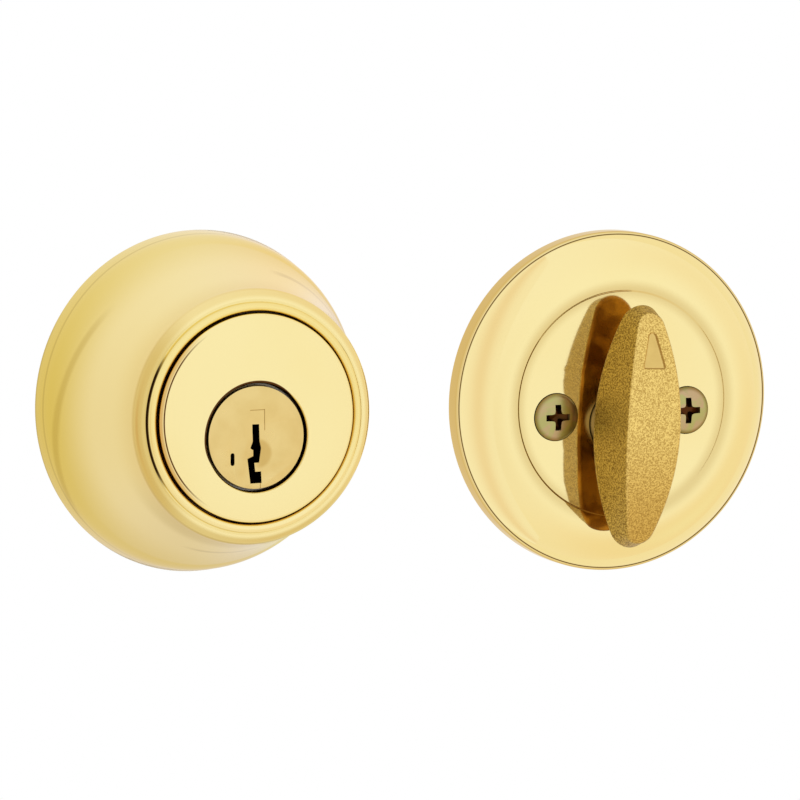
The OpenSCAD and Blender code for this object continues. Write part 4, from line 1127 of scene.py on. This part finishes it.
# ---------- floor, backdrop and light
# cards round the object: direction, how tight, and the tone it shows there
skySet = {"tone": (0.989, 0.965, 1.0),
          "cards": [((-0.737, -0.632, -0.240), 11.4, (0.850, 0.670, 0.530)),
                    ((0.664, -0.552, -0.504), 4.4, (0.848, 0.533, 0.150)),
                    ((-0.304, -0.417, -0.856), 4.75, (0.934, 0.854, 0.744)),
                    ((0.379, -0.923, 0.071), 2.65, (1.006, 0.995, 1.03)),
                    ((0.747, -0.357, -0.562), 11.6, (0.948, 0.874, 0.750)),
                    ((-0.117, -0.948, -0.296), 16.5, (0.947, 0.893, 0.860)),
                    ((0.854, -0.278, 0.440), 6.6, (0.966, 0.897, 0.844))]}
# the same for the door's face, by direction from the middle of the keyed half
doorSet = {"tone": (1.010, 0.985, 1.030),
           "beyond": (0.950, 0.880, 0.780),
           "cards": [((-0.968, 0, -0.251), 1.0, (0.889, 0.818, 0.716)),
                     ((0.803, 0, -0.597), 1.3, (0.706, 0.611, 0.744)),
                     ((0.689, 0, 0.724), 10.2, (0.963, 0.830, 0.680)),
                     ((0.662, 0, -0.750), 12.2, (0.877, 0.858, 0.579)),
                     ((0.050, 0, -0.999), 7.0, (0.780, 0.690, 0.570))]}
stageSet = {"floorDrop": 0.30, "floorSize": 14.0, "cardSize": 0.6, "cardBack": 0.0006,
            "flagRight": 0.043, "flagOut": 0.075, "flagHigh": 0.25, "flagSees": (-26 * mm, -6 * mm)}
square = ((-1, -1), (1, -1), (1, 1), (-1, 1))


def skyTone(g, ray, s):
    tone = s["tone"]
    for aim, tight, colour in s["cards"]:
        near = g.node("ShaderNodeVectorMath", {"operation": "DOT_PRODUCT"},
                      {0: ray, 1: Vector(aim).normalized()}, out="Value")
        tone = g.mixColour(math.e ** ((near - 1) * tight), tone, colour)
    return tone


def paper(name, tone, oneSided=False, unseen=False):
    # white to the camera, or clear to it; a reflection sees the tone
    material, g = emptyMaterial(name)
    camera = g.node("ShaderNodeLightPath", out="Is Camera Ray")
    shown = g.node("ShaderNodeEmission", None,
                   {"Color": g.mixColour(camera, tone(g), (1, 1, 1)), "Strength": 1.0})
    if oneSided:
        clear = g.node("ShaderNodeBsdfTransparent", None, {"Color": (1, 1, 1, 1)})
        behind = g.node("ShaderNodeNewGeometry", out="Backfacing")
        hidden = behind.most(camera) if unseen else behind
        shown = g.node("ShaderNodeMixShader", None, {0: hidden, 1: shown, 2: clear})
    g.node("ShaderNodeOutputMaterial", None, {"Surface": shown})
    return material


def flatCard(name, corners, material):
    mesh = bpy.data.meshes.new(name)
    mesh.from_pydata([tuple(c) for c in corners], [], [(0, 1, 2, 3)])
    card = linked(name, mesh)
    mesh.materials.append(material)
    card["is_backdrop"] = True
    return card


def makeStage(s):
    low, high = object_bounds()
    centre = (low + high) / 2
    half, c = s["floorSize"] / 2, s["cardSize"] / 2
    floorUp = low.z - s["floorDrop"]
    right = roseCentre.x + s["flagRight"]

    def toneFrom(point, lamps, flat=(1, 1, 1)):
        # tone of a card by direction from a point
        def tone(g):
            out = g.node("ShaderNodeVectorMath", {"operation": "SUBTRACT"}, {0: g.place(), 1: tuple(point)})
            out = g.node("ShaderNodeVectorMath", {"operation": "MULTIPLY"}, {0: out, 1: flat})
            return skyTone(g, g.node("ShaderNodeVectorMath", {"operation": "NORMALIZE"}, {0: out}), lamps)
        return tone

    def doorTone(g):
        # one tone beyond the flag, where only the turn half stands
        near = toneFrom(roseCentre, doorSet, (1, 0, 1))(g)
        return g.mixColour(g.soften(g.split(g.place())[0], right, right + 1 * mm), near, doorSet["beyond"])

    flatCard("floor", [(centre.x + x * half, centre.y + y * half, floorUp) for x, y in square],
             paper("floorPaper", toneFrom(centre, skySet), True))
    # paper on the door's outside face, clear from behind: it stands for the door
    flatCard("doorFace", [(centre.x + x * c, s["cardBack"], centre.z + z * c) for x, z in square],
             paper("doorPaper", doorTone, True))
    # a flag between the halves, so that neither shows in the other, as on a door
    sideways, outward = s["flagSees"]
    corner = (coverCentre.x + sideways, outward, coverCentre.z)
    flatCard("flag", [(right, y, coverCentre.z + z * s["flagHigh"])
                      for y, z in ((0, -1), (0, 1), (-s["flagOut"], 1), (-s["flagOut"], -1))],
             paper("flagPaper", toneFrom(corner, skySet, (1, 1, 0)), True, True))


def makeWorld():
    world = bpy.data.worlds.new("studio")
    bpy.context.scene.world = world
    world.use_nodes = True
    g = Graph(world.node_tree)
    tone = skyTone(g, g.node("ShaderNodeTexCoord", out="Generated"), skySet)
    camera = g.node("ShaderNodeLightPath", out="Is Camera Ray")
    back = g.node("ShaderNodeBackground", None,
                  {"Color": g.mixColour(camera, tone, (1, 1, 1)), "Strength": 1.0})
    g.node("ShaderNodeOutputWorld", None, {"Surface": back})


makeStage(stageSet)
makeWorld()

bpy.context.scene.view_settings.view_transform = "Standard"
print("stage and light set")
